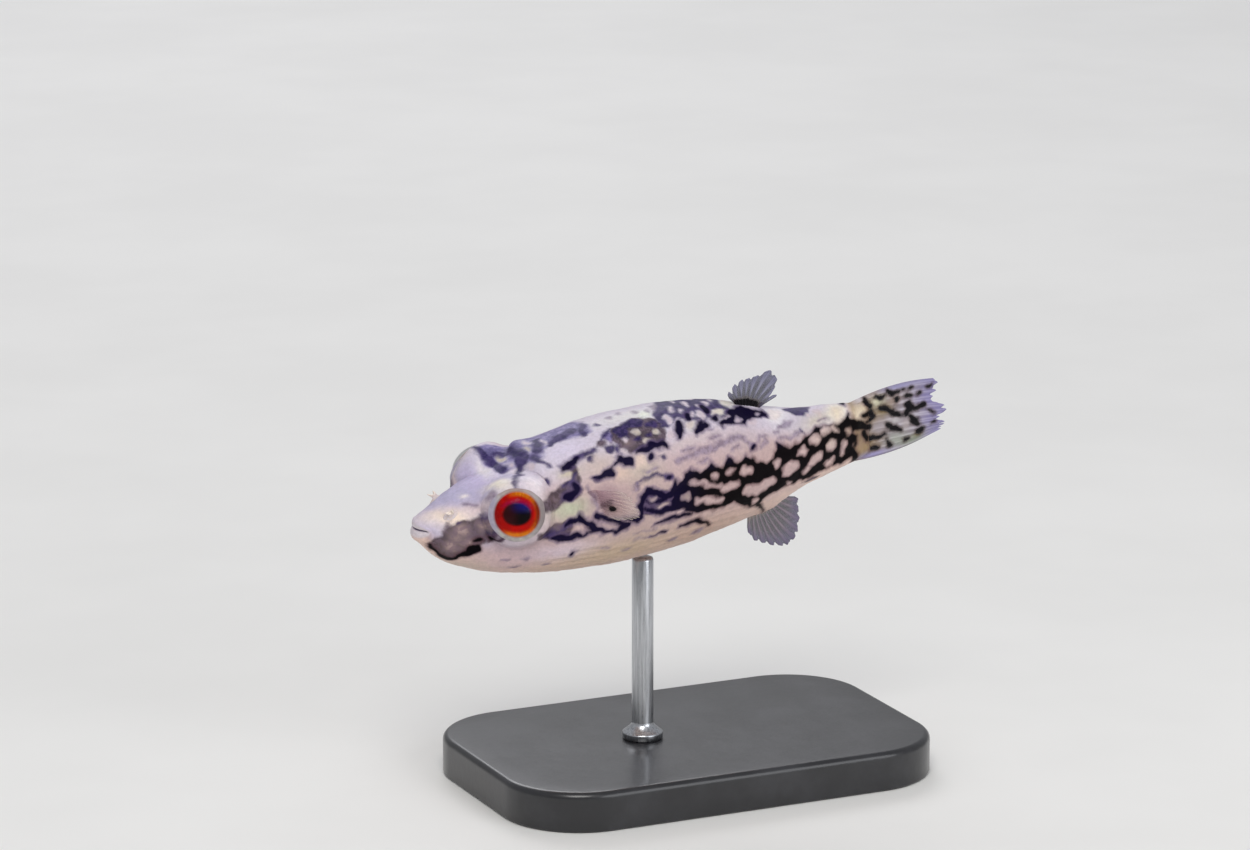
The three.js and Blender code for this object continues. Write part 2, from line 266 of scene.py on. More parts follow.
def marks(x, v, ovals=(), strokes=(), patches=(), melt=0.12):
    """Distance to the nearest of several marks, which melt together where they touch."""
    best = np.full(x.shape, FAR_OFF)
    shapes = [(oval, s) for s in ovals] + [(stroke, s) for s in strokes] + [(patch, s) for s in patches]
    for shape, mark in shapes:
        best = smooth_min(best, shape(x, v, mark), melt)
    return best


# Marks of the left side, as x from the mouth and v along the skin from the middle of the side, up positive.
# An oval is (x, v, half length, half height, tilt), a stroke runs through (x, v, half width), a patch is an
# outline.
INK = {
    "ovals": [
        (3.75, 0.3, 0.3, 0.22), (3.35, -0.5, 0.6, 0.36, 20), (4.72, 0.42, 0.26, 0.16),
        (10.5, -1.95, 0.3, 0.22, 40), (10.65, 2.8, 0.7, 0.36, 25), (11.2, 3.25, 0.28, 0.46),
        (14.5, -0.55, 0.45, 0.32), (17.35, 4.1, 0.34, 0.36), (15.5, 4.2, 0.5, 0.42), (15.0, 4.55, 0.3, 0.3),
        (18.3, 2.35, 0.24, 0.2), (21.45, 6.4, 0.28, 0.45), (23.4, 5.5, 0.27, 0.27), (23.15, 6.75, 0.3, 0.6),
        (35.05, 3.1, 0.34, 0.42), (31.7, 1.85, 0.22, 0.15), (25.85, 2.5, 0.26, 0.22),
        (13.8, 3.7, 0.45, 0.36), (22.3, 5.35, 0.4, 0.34),
    ],
    "strokes": [
        [(3.75, -0.5, 0.28), (2.9, -0.85, 0.26), (2.35, -1.1, 0.22), (2.1, -1.5, 0.24), (1.7, -1.75, 0.26),
         (1.0, -1.4, 0.22), (0.6, -0.9, 0.14)],
        [(10.8, 4.9, 0.24), (11.4, 5.1, 0.32), (12.0, 5.4, 0.24)],
        [(12.6, 3.55, 0.1), (13.3, 3.55, 0.24), (13.9, 3.7, 0.34), (14.05, 4.05, 0.14)],
        [(14.2, 4.15, 0.1), (14.8, 4.4, 0.18), (15.4, 4.4, 0.26)],
        [(8.9, -0.1, 0.16), (9.7, -0.3, 0.32), (10.5, -0.42, 0.32), (11.3, -0.42, 0.15),
         (12.0, -0.3, 0.12)],
        [(10.0, 0.62, 0.18), (10.6, 0.85, 0.22), (11.0, 1.0, 0.28), (11.5, 0.5, 0.28), (12.0, 0.0, 0.34),
         (12.4, -0.3, 0.28), (13.2, -0.65, 0.17), (13.9, -0.84, 0.18), (14.4, -0.65, 0.2)],
        [(14.5, 0.12, 0.16), (15.0, -0.1, 0.22), (15.5, -0.35, 0.22), (15.9, -0.15, 0.18)],
        [(12.35, 0.8, 0.3), (12.8, 0.5, 0.26), (13.4, 0.2, 0.2), (14.0, 0.0, 0.2), (14.3, -0.3, 0.18)],
        [(15.8, -0.1, 0.2), (15.75, 0.9, 0.24), (16.1, 1.45, 0.3), (16.5, 1.75, 0.28), (17.0, 1.55, 0.26),
         (17.5, 1.2, 0.28), (17.9, 0.95, 0.26), (18.4, 1.2, 0.26), (18.8, 1.75, 0.26)],
        [(16.1, 0.6, 0.16), (16.7, 0.3, 0.2), (17.0, -0.05, 0.22), (17.6, -0.12, 0.22), (18.4, -0.1, 0.26),
         (18.9, 0.1, 0.24)],
        [(16.3, 1.0, 0.1), (17.1, 0.72, 0.14), (17.7, 0.85, 0.18)],
        [(26.2, -2.5, 0.2), (26.8, -3.2, 0.16), (27.2, -4.2, 0.12)],
        [(17.0, -1.02, 0.12), (18.2, -0.95, 0.19), (19.1, -0.97, 0.2), (19.9, -1.05, 0.16)],
        [(19.0, -1.95, 0.12), (20.5, -1.85, 0.21), (21.2, -2.3, 0.2), (21.8, -2.85, 0.15)],
        [(16.6, -2.1, 0.02), (17.4, -2.12, 0.1), (17.9, -2.1, 0.17)],
        [(16.5, 4.72, 0.2), (17.2, 4.8, 0.27), (17.9, 4.92, 0.3), (18.4, 4.85, 0.28), (18.85, 4.55, 0.2)],
        [(19.95, 4.95, 0.18), (20.25, 5.45, 0.36), (20.5, 6.1, 0.26)],
        [(21.45, 4.85, 0.2), (21.9, 5.1, 0.32), (22.4, 5.35, 0.3)],
        [(35.9, 1.72, 0.08), (36.3, 1.5, 0.18)],
        [(36.5, 2.4, 0.12), (36.9, 1.95, 0.22), (37.3, 1.5, 0.2)],
        [(36.7, -0.4, 0.24), (36.95, -1.0, 0.26), (37.6, -1.15, 0.2)],
    ],
    "patches": [
        # the netted band of the lower flank: its scalloped upper edge, then its lower edge back
        [(18.6, 1.6), (19.1, 1.7), (19.7, 2.3), (20.2, 2.5), (20.6, 2.3), (21.0, 2.0), (21.4, 2.1),
         (21.9, 2.5), (22.3, 2.2), (22.8, 1.75), (23.2, 2.1), (23.5, 2.5), (23.8, 2.3), (24.2, 1.75),
         (24.6, 1.8), (25.0, 2.2), (25.5, 1.9), (26.0, 1.4), (26.8, 1.05), (27.4, 1.25), (27.7, 1.65),
         (28.1, 2.35), (28.5, 2.05), (29.0, 1.65), (29.7, 1.75), (30.4, 1.75), (31.2, 1.95), (32.0, 2.05),
         (33.0, 1.9), (33.9, 1.6), (34.4, 1.75), (34.95, 2.1), (35.1, 1.6), (35.5, 1.1), (36.4, 0.8),
         (37.4, 0.2), (37.1, -0.3), (36.0, -0.3), (35.6, -0.1), (35.3, -0.3), (35.3, -0.9), (35.6, -1.6),
         (35.7, -2.4), (35.1, -2.4), (34.9, -1.6), (34.0, -1.75), (33.0, -1.55), (31.8, -1.5),
         (31.0, -1.75), (30.2, -1.5), (28.6, -1.5), (27.0, -1.75), (26.3, -2.6), (25.2, -2.3), (24.8, -2.0),
         (24.2, -1.7), (23.8, -1.2), (23.2, -1.3), (21.8, -1.4), (21.0, -1.25), (20.0, -0.95), (18.6, -0.4),
         (18.2, 0.5)],
        # the saddle in front of the dorsal fin
        [(23.5, 5.1), (23.8, 4.7), (24.6, 4.65), (25.3, 4.4), (25.8, 4.25), (26.1, 4.6), (27.2, 4.55),
         (28.0, 4.45), (28.2, 4.7), (28.0, 5.2), (27.0, 5.5), (26.4, 6.3), (25.6, 6.0), (25.0, 6.1),
         (24.5, 5.5)],
    ],
}
PLUM = {
    "ovals": [
        (9.3, 6.4, 0.4, 0.45), (9.4, 4.0, 0.26, 0.22), (12.8, 5.1, 0.3, 0.25), (14.7, 8.2, 0.2, 0.25),
        (18.25, 3.95, 0.26, 0.24), (16.8, 5.75, 0.36, 0.22), (17.8, 5.8, 0.25, 0.2), (18.4, 6.6, 0.5, 0.35),
        (14.5, 5.5, 0.45, 0.36), (15.1, 5.3, 0.25, 0.36), (27.9, 4.7, 0.6, 0.36), (4.2, 1.9, 0.2, 0.25),
        (2.6, 1.62, 0.28, 0.16), (6.45, 3.15, 0.22, 0.15), (17.3, 7.1, 0.6, 0.4), (16.0, 6.5, 0.5, 0.5),
        (8.6, 8.6, 0.4, 0.6), (6.5, 7.7, 0.4, 0.25, -30),
    ],
    "strokes": [
        [(6.4, 8.2, 0.25), (6.8, 7.4, 0.38), (7.0, 6.6, 0.44), (6.95, 6.0, 0.36)],
        [(6.5, 3.5, 0.1), (7.1, 4.3, 0.16), (7.7, 5.0, 0.22), (8.2, 5.8, 0.34), (8.5, 6.5, 0.5),
         (8.8, 7.4, 0.55), (8.4, 8.4, 0.4)],
        [(7.2, 7.9, 0.2), (7.9, 8.2, 0.3), (8.6, 8.0, 0.3)],
        [(15.6, 6.9, 0.34), (16.3, 7.15, 0.34), (16.9, 7.3, 0.4), (17.6, 7.3, 0.36)],
        [(15.7, 2.45, 0.08), (16.6, 2.72, 0.13), (17.5, 2.75, 0.15), (18.1, 2.55, 0.18), (18.5, 2.25, 0.2)],
        [(9.2, 6.2, 0.26), (9.5, 5.7, 0.22), (9.95, 5.1, 0.12)],
        [(9.8, 6.8, 0.22), (10.1, 7.7, 0.32), (10.4, 8.6, 0.32)],
        [(10.9, 7.45, 0.3), (11.6, 7.85, 0.42), (12.3, 8.1, 0.44), (12.9, 8.4, 0.36)],
        [(13.35, 7.35, 0.28), (13.55, 8.0, 0.34), (13.9, 8.8, 0.3)],
        [(11.9, 5.45, 0.24), (12.5, 5.6, 0.24), (13.0, 5.55, 0.22), (13.5, 5.8, 0.2)],
        [(30.4, 2.6, 0.12), (30.6, 2.1, 0.12)],
        [(4.3, 2.0, 0.1), (4.5, 1.3, 0.15), (4.65, 0.7, 0.16), (4.95, 0.42, 0.1)],
        [(10.2, 3.5, 0.1), (11.0, 3.65, 0.14), (11.45, 4.3, 0.12)],
        [(8.2, 0.2, 0.16), (9.0, 0.4, 0.3), (9.8, 0.5, 0.26)],
        [(14.3, 6.4, 0.14), (14.8, 6.9, 0.18), (15.2, 7.3, 0.14)],
    ],
    "patches": [
        [(18.9, 7.6), (19.0, 6.2), (19.5, 5.9), (20.1, 6.3), (20.6, 6.6), (21.0, 6.2), (21.6, 6.0),
         (21.9, 5.6), (22.5, 5.5), (23.0, 5.7), (23.7, 5.5), (24.7, 5.4), (25.1, 5.6), (25.0, 7.6),
         (24.6, 9.8), (22.8, 10.4), (20.5, 10.4), (20.0, 9.2), (19.7, 8.3)],
        [(29.9, 5.0), (30.2, 4.2), (30.6, 3.6), (31.3, 3.3), (31.9, 3.6), (32.2, 4.2), (31.6, 4.7),
         (30.8, 5.0)],
    ],
}
SMOKE = {
    "ovals": [
        (8.2, 0.3, 0.6, 0.36, -15), (14.1, 6.1, 0.35, 0.3), (31.0, -2.0, 0.9, 0.2), (16.1, 5.0, 0.4, 0.3),
        (12.9, 3.5, 0.36, 0.2), (13.2, 1.6, 0.5, 0.3),
    ],
    "strokes": [
        [(11.4, 3.8, 0.25), (11.45, 4.3, 0.24), (11.3, 4.8, 0.25)],
        [(18.6, 0.8, 0.4), (19.4, 0.9, 0.5)],
    ],
    "patches": [
        [(0.45, 0.0), (1.0, 0.4), (1.5, 1.0), (2.0, 1.5), (2.5, 1.75), (3.0, 1.85), (3.5, 1.85),
         (4.25, 2.1), (4.5, 1.2), (4.7, 0.7), (5.0, 0.4), (4.3, 0.1), (3.9, -0.2), (3.7, -0.9), (2.6, -1.0),
         (2.3, -1.4), (1.9, -1.9), (1.5, -1.9), (0.8, -1.3), (0.4, -1.0)],
        [(7.9, 2.0), (8.4, 2.6), (9.1, 3.1), (10.0, 3.5), (10.8, 3.75), (11.5, 4.0), (11.6, 3.0),
         (11.2, 2.4), (10.2, 2.3), (9.6, 2.0), (8.8, 1.9)],
        [(7.8, 0.5), (8.8, 0.9), (9.8, 1.0), (10.6, 1.0), (10.4, 0.2), (10.3, -0.2), (9.0, -0.2),
         (8.0, 0.0)],
        [(15.2, 7.3), (15.0, 6.2), (15.3, 5.2), (16.2, 4.8), (17.5, 4.9), (18.9, 4.9), (19.2, 6.0),
         (19.0, 7.0), (17.8, 7.75), (16.4, 7.5)],
        [(15.7, 0.2), (15.8, 1.5), (16.5, 1.8), (17.6, 1.5), (18.4, 1.5), (18.9, 0.2), (18.3, -0.2),
         (16.6, -0.1)],
    ],
}
HAZE = {
    "ovals": [
        # (3.8, 3.0) is a painted shadow under the snout's painted highlight.
        (3.8, 3.0, 0.5, 0.22), (21.2, 3.4, 0.5, 0.24), (22.2, 3.4, 0.6, 0.24), (23.4, 3.5, 0.6, 0.22),
        (24.4, 3.6, 0.5, 0.18), (19.6, 3.3, 0.6, 0.24), (15.6, 2.25, 0.32, 0.26), (29.2, 3.3, 0.75, 0.26),
        (6.5, -2.6, 0.4, 0.15), (8.7, -2.75, 0.35, 0.13), (7.1, -1.6, 0.35, 0.15), (5.7, -1.6, 0.3, 0.12),
        (20.8, -3.2, 0.6, 0.26), (14.8, -2.85, 0.4, 0.12), (18.7, -3.25, 0.45, 0.26),
        (17.9, 8.6, 0.25, 0.3), (15.9, 8.7, 0.3, 0.3), (16.8, 9.0, 0.2, 0.3), (18.9, 8.3, 0.2, 0.4),
        (13.0, -2.2, 0.4, 0.1), (25.9, 6.2, 0.3, 0.2), (14.85, 6.4, 0.3, 0.6), (22.6, 4.75, 0.4, 0.15),
        (24.3, 2.9, 0.4, 0.16), (26.6, 5.2, 0.5, 0.3), (20.3, 3.9, 0.6, 0.16), (22.8, 4.1, 0.7, 0.16),
        (32.6, 2.5, 0.5, 0.16), (30.0, 2.4, 0.4, 0.18), (28.2, 3.1, 0.3, 0.18), (17.0, 3.2, 0.6, 0.14),
        (21.4, 2.8, 0.5, 0.14),
    ],
    "strokes": [
        [(19.6, 3.3, 0.16), (20.8, 3.5, 0.24), (22.0, 3.35, 0.26), (23.2, 3.55, 0.26), (24.6, 3.6, 0.26),
         (25.4, 3.4, 0.18)],
        [(25.2, 3.3, 0.14), (25.9, 2.6, 0.2)],
        [(26.3, 2.8, 0.14), (26.6, 3.2, 0.14), (27.2, 3.0, 0.15), (27.1, 2.6, 0.14), (26.5, 2.5, 0.14)],
        [(15.4, -2.0, 0.05), (16.6, -2.1, 0.1)],
        [(15.2, -1.5, 0.04), (16.4, -1.4, 0.07), (17.0, -1.5, 0.05)],
        # A painted shadow: the arc of the groove in front of the eye.
        [(5.05, 3.1, 0.2), (4.6, 2.4, 0.22), (4.5, 1.6, 0.18)],
        [(28.3, 2.6, 0.1), (29.4, 2.2, 0.14), (30.4, 2.3, 0.1)],
        [(12.0, 3.0, 0.14), (12.3, 2.2, 0.2), (12.5, 1.4, 0.16)],
    ],
    "patches": [
        [(19.2, 6.7), (20.0, 7.6), (23.0, 6.7), (24.6, 6.0), (24.8, 8.0), (22.0, 9.0), (19.4, 9.2)],
    ],
}
# A slate film over the nape and the ridge behind it
DUSK = {
    "ovals": [(14.9, 6.6, 0.4, 0.5)],
    "patches": [
        [(6.1, 8.4), (6.4, 6.6), (6.9, 5.6), (7.5, 5.9), (8.1, 5.8), (8.6, 6.1), (9.1, 5.6), (9.8, 6.0),
         (10.2, 6.9), (10.8, 7.2), (11.8, 7.4), (13.0, 7.3), (14.0, 7.5), (14.3, 8.3), (13.9, 10.4),
         (9.4, 9.8), (7.0, 9.4)],
    ],
}
PALE = {
    "ovals": [
        (17.0, 6.28, 0.24, 0.22), (17.4, 5.37, 0.22, 0.16), (18.45, 5.95, 0.26, 0.22),
        (15.45, 5.1, 0.16, 0.2), (15.9, 5.9, 0.18, 0.2), (11.1, 0.15, 0.46, 0.26), (16.9, 1.05, 0.32, 0.2),
        (17.6, 0.35, 0.55, 0.18), (19.9, 6.8, 0.26, 0.5), (21.85, 6.5, 0.16, 0.26),
        (22.45, 6.15, 0.36, 0.55), (21.2, 5.65, 0.46, 0.34), (24.0, 6.0, 0.62, 0.34),
        (25.4, 7.0, 0.6, 0.75), (19.5, 5.35, 0.42, 0.32), (25.3, 4.85, 0.32, 0.25),
        (26.55, 4.35, 0.5, 0.32), (24.5, 5.35, 0.2, 0.14), (27.3, 4.98, 0.22, 0.12), (7.6, 7.5, 0.26, 0.34),
        (7.7, 6.4, 0.16, 0.3), (20.6, 7.7, 0.14, 0.4), (22.0, 7.9, 0.14, 0.5), (23.6, 7.5, 0.2, 0.4),
        (21.2, 7.2, 0.12, 0.22), (22.8, 7.25, 0.12, 0.2), (21.3, 8.9, 0.12, 0.4), (23.0, 8.9, 0.14, 0.4),
        (24.3, 7.9, 0.14, 0.4), (8.75, 5.5, 0.3, 0.34), (9.35, 7.6, 0.2, 0.42), (9.75, 8.6, 0.16, 0.35),
        (10.6, 8.0, 0.14, 0.4), (22.15, 1.35, 0.28, 0.3), (23.5, 1.32, 0.42, 0.3),
        (24.95, 0.95, 0.55, 0.42), (23.4, 0.15, 0.95, 0.36), (19.6, 0.4, 0.4, 0.4),
        (25.8, -1.9, 0.36, 0.32), (27.8, 0.75, 0.36, 0.4), (18.7, -0.6, 0.8, 0.16),
        (29.05, -0.05, 0.88, 0.62), (30.25, 0.92, 0.52, 0.36, -20), (31.4, -0.2, 0.72, 0.48, 15),
        (30.65, -0.75, 0.5, 0.38, 20), (31.55, 1.3, 0.58, 0.38, -25), (32.6, 1.6, 0.45, 0.35),
        (32.95, 0.35, 0.5, 0.46), (32.8, -1.05, 0.5, 0.4), (34.7, 0.75, 0.4, 0.26, -35),
        (35.75, -0.75, 0.75, 0.45, -50), (29.0, -1.3, 0.3, 0.2), (28.9, 4.5, 0.7, 0.6),
        (31.6, 3.3, 0.18, 0.18), (32.5, 3.2, 0.3, 0.5), (34.0, 2.45, 0.55, 0.72),
        (35.9, 0.12, 0.4, 0.12, -10), (16.4, 4.1, 0.36, 0.34), (18.0, 4.3, 0.22, 0.12),
        (13.35, 0.62, 0.5, 0.12, -20),
    ],
    "strokes": [
        [(12.5, 0.28, 0.14), (13.1, -0.08, 0.2), (13.8, -0.4, 0.14)],
        [(20.1, 1.45, 0.2), (21.0, 1.1, 0.22), (21.9, 0.65, 0.17), (22.6, 0.4, 0.2)],
        [(20.5, -0.15, 0.26), (21.6, -0.45, 0.34), (22.6, -0.75, 0.28)],
        [(24.95, -0.65, 0.42), (26.0, -0.85, 0.55), (27.3, -0.55, 0.42)],
        [(33.2, 1.55, 0.2), (33.7, 1.25, 0.18)],
        [(34.25, 0.05, 0.3), (34.05, -0.9, 0.22)],
        [(26.8, -2.2, 0.25), (28.5, -1.95, 0.3), (30.3, -2.2, 0.3)],
        [(35.15, 2.55, 0.22), (35.4, 1.75, 0.26), (35.9, 1.25, 0.2)],
    ],
}
# Soft washes of colour over the ground, some of them painted highlights and painted sheen as noted at their
# lines: x, v, reach along, reach across, colour, strength
WASHES = [
    (1.0, 1.6, 1.6, 1.2, (216, 204, 210), 0.8), (2.4, 2.1, 1.5, 0.8, (255, 234, 212), 1.0),
    # (3.2, 4.6) and, on the next line, (5.2, 5.8) are lilac on the top of the head: partly its own colour,
    # partly painted sheen of the light from above.
    (4.2, 2.6, 1.6, 0.5, (234, 210, 202), 0.7), (3.2, 4.6, 1.6, 1.6, (180, 174, 204), 0.8),
    # (3.7, 3.9), at this line's end, is a painted highlight: the lit top of a small bump on the snout, with
    # its painted shadow in HAZE at (3.8, 3.0).
    (5.2, 5.8, 1.6, 1.4, (198, 186, 220), 0.9), (3.7, 3.9, 0.3, 0.28, (250, 238, 232), 0.9),
    # (8.0, 3.7), at this line's end, is a painted highlight on the orbit's top above the eye.
    (5.8, 3.8, 0.7, 0.6, (252, 242, 222), 0.9), (8.0, 3.7, 0.8, 0.6, (250, 240, 246), 0.85),
    (7.6, 5.4, 0.5, 0.7, (222, 210, 216), 0.6), (10.4, 1.8, 1.6, 0.7, (190, 194, 168), 0.9),
    (9.6, -1.6, 3.0, 0.8, (224, 206, 222), 0.85), (5.6, -2.0, 2.4, 1.2, (216, 186, 192), 0.85),
    (3.2, -2.6, 2.2, 1.0, (208, 188, 174), 0.8), (13.2, 4.6, 1.6, 1.2, (198, 178, 166), 0.7),
    (11.0, 4.4, 0.8, 0.4, (196, 184, 150), 0.7), (14.8, 3.5, 0.9, 0.5, (226, 196, 180), 0.8),
    (16.6, 3.3, 1.6, 0.9, (184, 174, 158), 0.7), (13.3, 1.9, 1.2, 1.0, (164, 134, 148), 0.6),
    (11.6, 6.4, 1.8, 0.9, (216, 206, 226), 0.85), (17.0, 8.3, 2.6, 0.8, (214, 210, 210), 0.9),
    (18.4, 7.9, 0.5, 0.6, (230, 234, 218), 0.8), (21.0, 3.6, 3.6, 1.2, (196, 172, 176), 0.7),
    (20.5, 4.4, 2.8, 0.4, (206, 190, 190), 0.6), (25.0, 3.4, 1.6, 1.0, (194, 176, 180), 0.6),
    # (28.9, 4.5) is a painted white highlight on the upper flank.
    (28.9, 4.5, 0.9, 0.8, (252, 248, 244), 0.95), (31.0, 2.8, 1.8, 0.7, (194, 184, 190), 0.7),
    (34.0, 2.5, 0.8, 0.9, (246, 238, 206), 0.95), (25.4, 7.0, 0.8, 0.8, (210, 216, 194), 0.9),
    (36.4, -0.2, 1.1, 2.2, (132, 110, 80), 0.7), (36.4, -1.9, 0.7, 0.4, (172, 170, 214), 0.9),
    (35.5, 1.8, 0.5, 0.7, (248, 228, 200), 0.9), (36.2, 2.5, 0.6, 0.5, (178, 174, 188), 0.9),
    (14.0, -3.0, 5.0, 1.6, (206, 184, 152), 0.65), (22.0, -3.4, 4.0, 1.4, (196, 164, 146), 0.6),
    (19.6, 0.4, 0.7, 0.7, (114, 100, 98), 0.85), (24.1, 6.0, 0.8, 0.5, (222, 220, 196), 0.8),
    (21.3, 5.6, 0.6, 0.5, (210, 204, 186), 0.7), (17.0, 6.2, 0.4, 0.4, (180, 174, 146), 0.8),
    (18.4, 5.95, 0.4, 0.4, (178, 174, 146), 0.8), (17.4, 5.35, 0.4, 0.4, (180, 172, 144), 0.7),
    (9.35, 7.6, 0.3, 0.5, (158, 160, 148), 0.8), (7.55, 7.55, 0.3, 0.4, (194, 190, 158), 0.9),
    (16.4, 4.1, 0.5, 0.5, (232, 208, 188), 0.8), (33.0, 0.9, 1.6, 0.9, (198, 188, 168), 0.6),
    (34.7, 0.75, 0.4, 0.35, (158, 136, 100), 0.9), (35.75, -0.75, 0.6, 0.5, (168, 138, 106), 0.9),
    (24.6, 0.4, 3.2, 1.6, (184, 152, 148), 0.5), (17.2, 0.7, 1.4, 0.9, (172, 158, 148), 0.7),
    (23.5, 1.3, 0.5, 0.4, (132, 108, 108), 0.7), (6.0, 6.5, 0.5, 1.3, (240, 232, 232), 0.75),
    (32.2, 2.6, 1.3, 0.5, (208, 198, 178), 0.7),
]
# Soft light places inside the chin's blotch: x, v, reach along, reach across, strength
MIST = [
    (2.7, 1.0, 0.6, 0.5, 0.8), (1.8, -0.35, 0.65, 0.5, 0.8), (3.1, 0.05, 0.6, 0.5, 0.8),
    (4.1, 1.3, 0.35, 0.5, 0.7), (2.2, 0.4, 0.7, 0.6, 0.5), (9.3, 2.7, 0.5, 0.24, 0.2),
    (9.4, 0.6, 0.6, 0.3, 0.3), (16.0, 5.6, 0.4, 0.3, 0.4),
]
MARKS = {"ink": INK, "plum": PLUM, "smoke": SMOKE, "haze": HAZE, "dusk": DUSK, "pale": PALE}


# ---------------------------------------------------------------- meshes
def fill_mesh(name, points, wrap=False, ends="", flat=False, values=None, flip=False):
    """A surface from a grid of points (rows, columns, 3) in metres. wrap joins the last column to the first,
    and ends names the rows to close, "start" and "end": with a fan to the row's middle or, for a flat row,
    with a strip from its first half to its second. values are per-point numbers, vectors or colours."""
    rows, columns = points.shape[:2]
    index = np.arange(rows * columns).reshape(rows, columns)
    left, right = (index, np.roll(index, -1, axis=1)) if wrap else (index[:, :-1], index[:, 1:])
    faces = [np.stack([left[:-1], right[:-1], right[1:], left[1:]], -1).reshape(-1, 4)]
    flat_points, sources = points.reshape(-1, 3), np.arange(rows * columns)
    for end, row in (("start", 0), ("end", rows - 1)):
        if end not in ends:
            continue
        ring = index[row]
        if flat:
            near, far = ring[:columns // 2], ring[columns // 2:][::-1]
            cap = np.stack([near[:-1], near[1:], far[1:], far[:-1]], -1)
        else:
            cap = np.stack([ring, np.roll(ring, -1), np.full(columns, len(flat_points))], -1)
            flat_points = np.vstack([flat_points, points[row].mean(0)])
            sources = np.append(sources, ring[0])
        faces.append(cap[:, ::-1] if end == "start" else cap)
    if flip:
        faces = [part[:, ::-1] for part in faces]
    sizes = np.concatenate([np.full(len(part), part.shape[1]) for part in faces])
    corners = np.concatenate([part.reshape(-1) for part in faces])
    mesh = bpy.data.meshes.new(name)
    mesh.vertices.add(len(flat_points))
    mesh.vertices.foreach_set("co", flat_points.astype(np.float32).reshape(-1))
    mesh.loops.add(len(corners))
    mesh.loops.foreach_set("vertex_index", corners.astype(np.int32))
    mesh.polygons.add(len(sizes))
    mesh.polygons.foreach_set("loop_start", (np.cumsum(sizes) - sizes).astype(np.int32))
    mesh.polygons.foreach_set("use_smooth", np.ones(len(sizes), bool))
    mesh.update(calc_edges=True)
    mesh.validate()
    for key, data in (values or {}).items():
        data = np.asarray(data, float)
        width = data.shape[2] if data.ndim == 3 else 1
        kind, field = {
            1: ("FLOAT", "value"), 3: ("FLOAT_VECTOR", "vector"), 4: ("FLOAT_COLOR", "color"),
        }[width]
        layer = mesh.attributes.new(key, kind, "POINT")
        layer.data.foreach_set(field, data.reshape(-1, width)[sources].astype(np.float32).reshape(-1))
    return mesh


def add_piece(mesh, material, replaced=()):
    """An object for the mesh, with its material and the solids that it stands for."""
    piece = bpy.data.objects.new(mesh.name, mesh)
    bpy.context.scene.collection.objects.link(piece)
    mesh.materials.append(material)
    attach(piece, "root")
    if replaced:
        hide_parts(*replaced)
    return piece


# ---------------------------------------------------------------- materials
def node(tree, kind, inputs=None, **settings):
    """A node with its settings, and its inputs set to numbers or linked to sockets."""
    made = tree.nodes.new(kind)
    for key, value in settings.items():
        setattr(made, key, value)
    for key, value in (inputs or {}).items():
        if isinstance(value, bpy.types.NodeSocket):
            tree.links.new(value, made.inputs[key])
        else:
            made.inputs[key].default_value = value
    return made


def attribute(tree, name, output="Fac"):
    """What fill_mesh stored at each point under the name."""
    return node(tree, "ShaderNodeAttribute", attribute_name=name).outputs[output]


def maths(tree, operation, *values):
    """The result of one Math node."""
    return node(tree, "ShaderNodeMath", dict(enumerate(values)), operation=operation).outputs[0]


def blend_colours(tree, share, a, b):
    """Colour a at share 0 and b at share 1; each is a socket or a colour."""
    a, b = (c if isinstance(c, bpy.types.NodeSocket) else (*c, 1) for c in (a, b))
    return node(tree, "ShaderNodeMix", {0: share, 6: a, 7: b}, data_type="RGBA").outputs[2]


def within(tree, value, inner, outer, full=1.0):
    """full where value is below inner, 0 above outer, smooth between."""
    inputs = {"Value": value, "From Min": inner, "From Max": outer, "To Min": full, "To Max": 0.0}
    return node(tree, "ShaderNodeMapRange", inputs, interpolation_type="SMOOTHSTEP").outputs[0]


def spread(tree, value, low, high):
    """From low where value is 0 to high where it is 1."""
    return node(tree, "ShaderNodeMapRange", {"Value": value, "To Min": low, "To Max": high}).outputs[0]


def noise(tree, vector, scale, detail=2.0, rough=0.5):
    """Soft noise between 0 and 1, scale times a unit of the vector."""
    inputs = {"Vector": vector, "Scale": scale, "Detail": detail, "Roughness": rough}
    return node(tree, "ShaderNodeTexNoise", inputs).outputs["Fac"]


def bump(tree, height, depth):
    """Relief of the given depth in millimetres."""
    inputs = {"Height": height, "Distance": depth * MM, "Strength": 1.0}
    return node(tree, "ShaderNodeBump", inputs).outputs[0]


def blank_material(name):
    """A material with an empty node tree, and the tree."""
    material = bpy.data.materials.new(name)
    material.use_nodes = True
    material.node_tree.nodes.clear()
    return material, material.node_tree


def finish(name, build, **sockets):
    """A material whose surface is one Principled shader: build(tree) gives its linked inputs."""
    material, tree = blank_material(name)
    shader = node(tree, "ShaderNodeBsdfPrincipled", {**sockets, **build(tree)})
    node(tree, "ShaderNodeOutputMaterial", {"Surface": shader.outputs[0]})
    return material


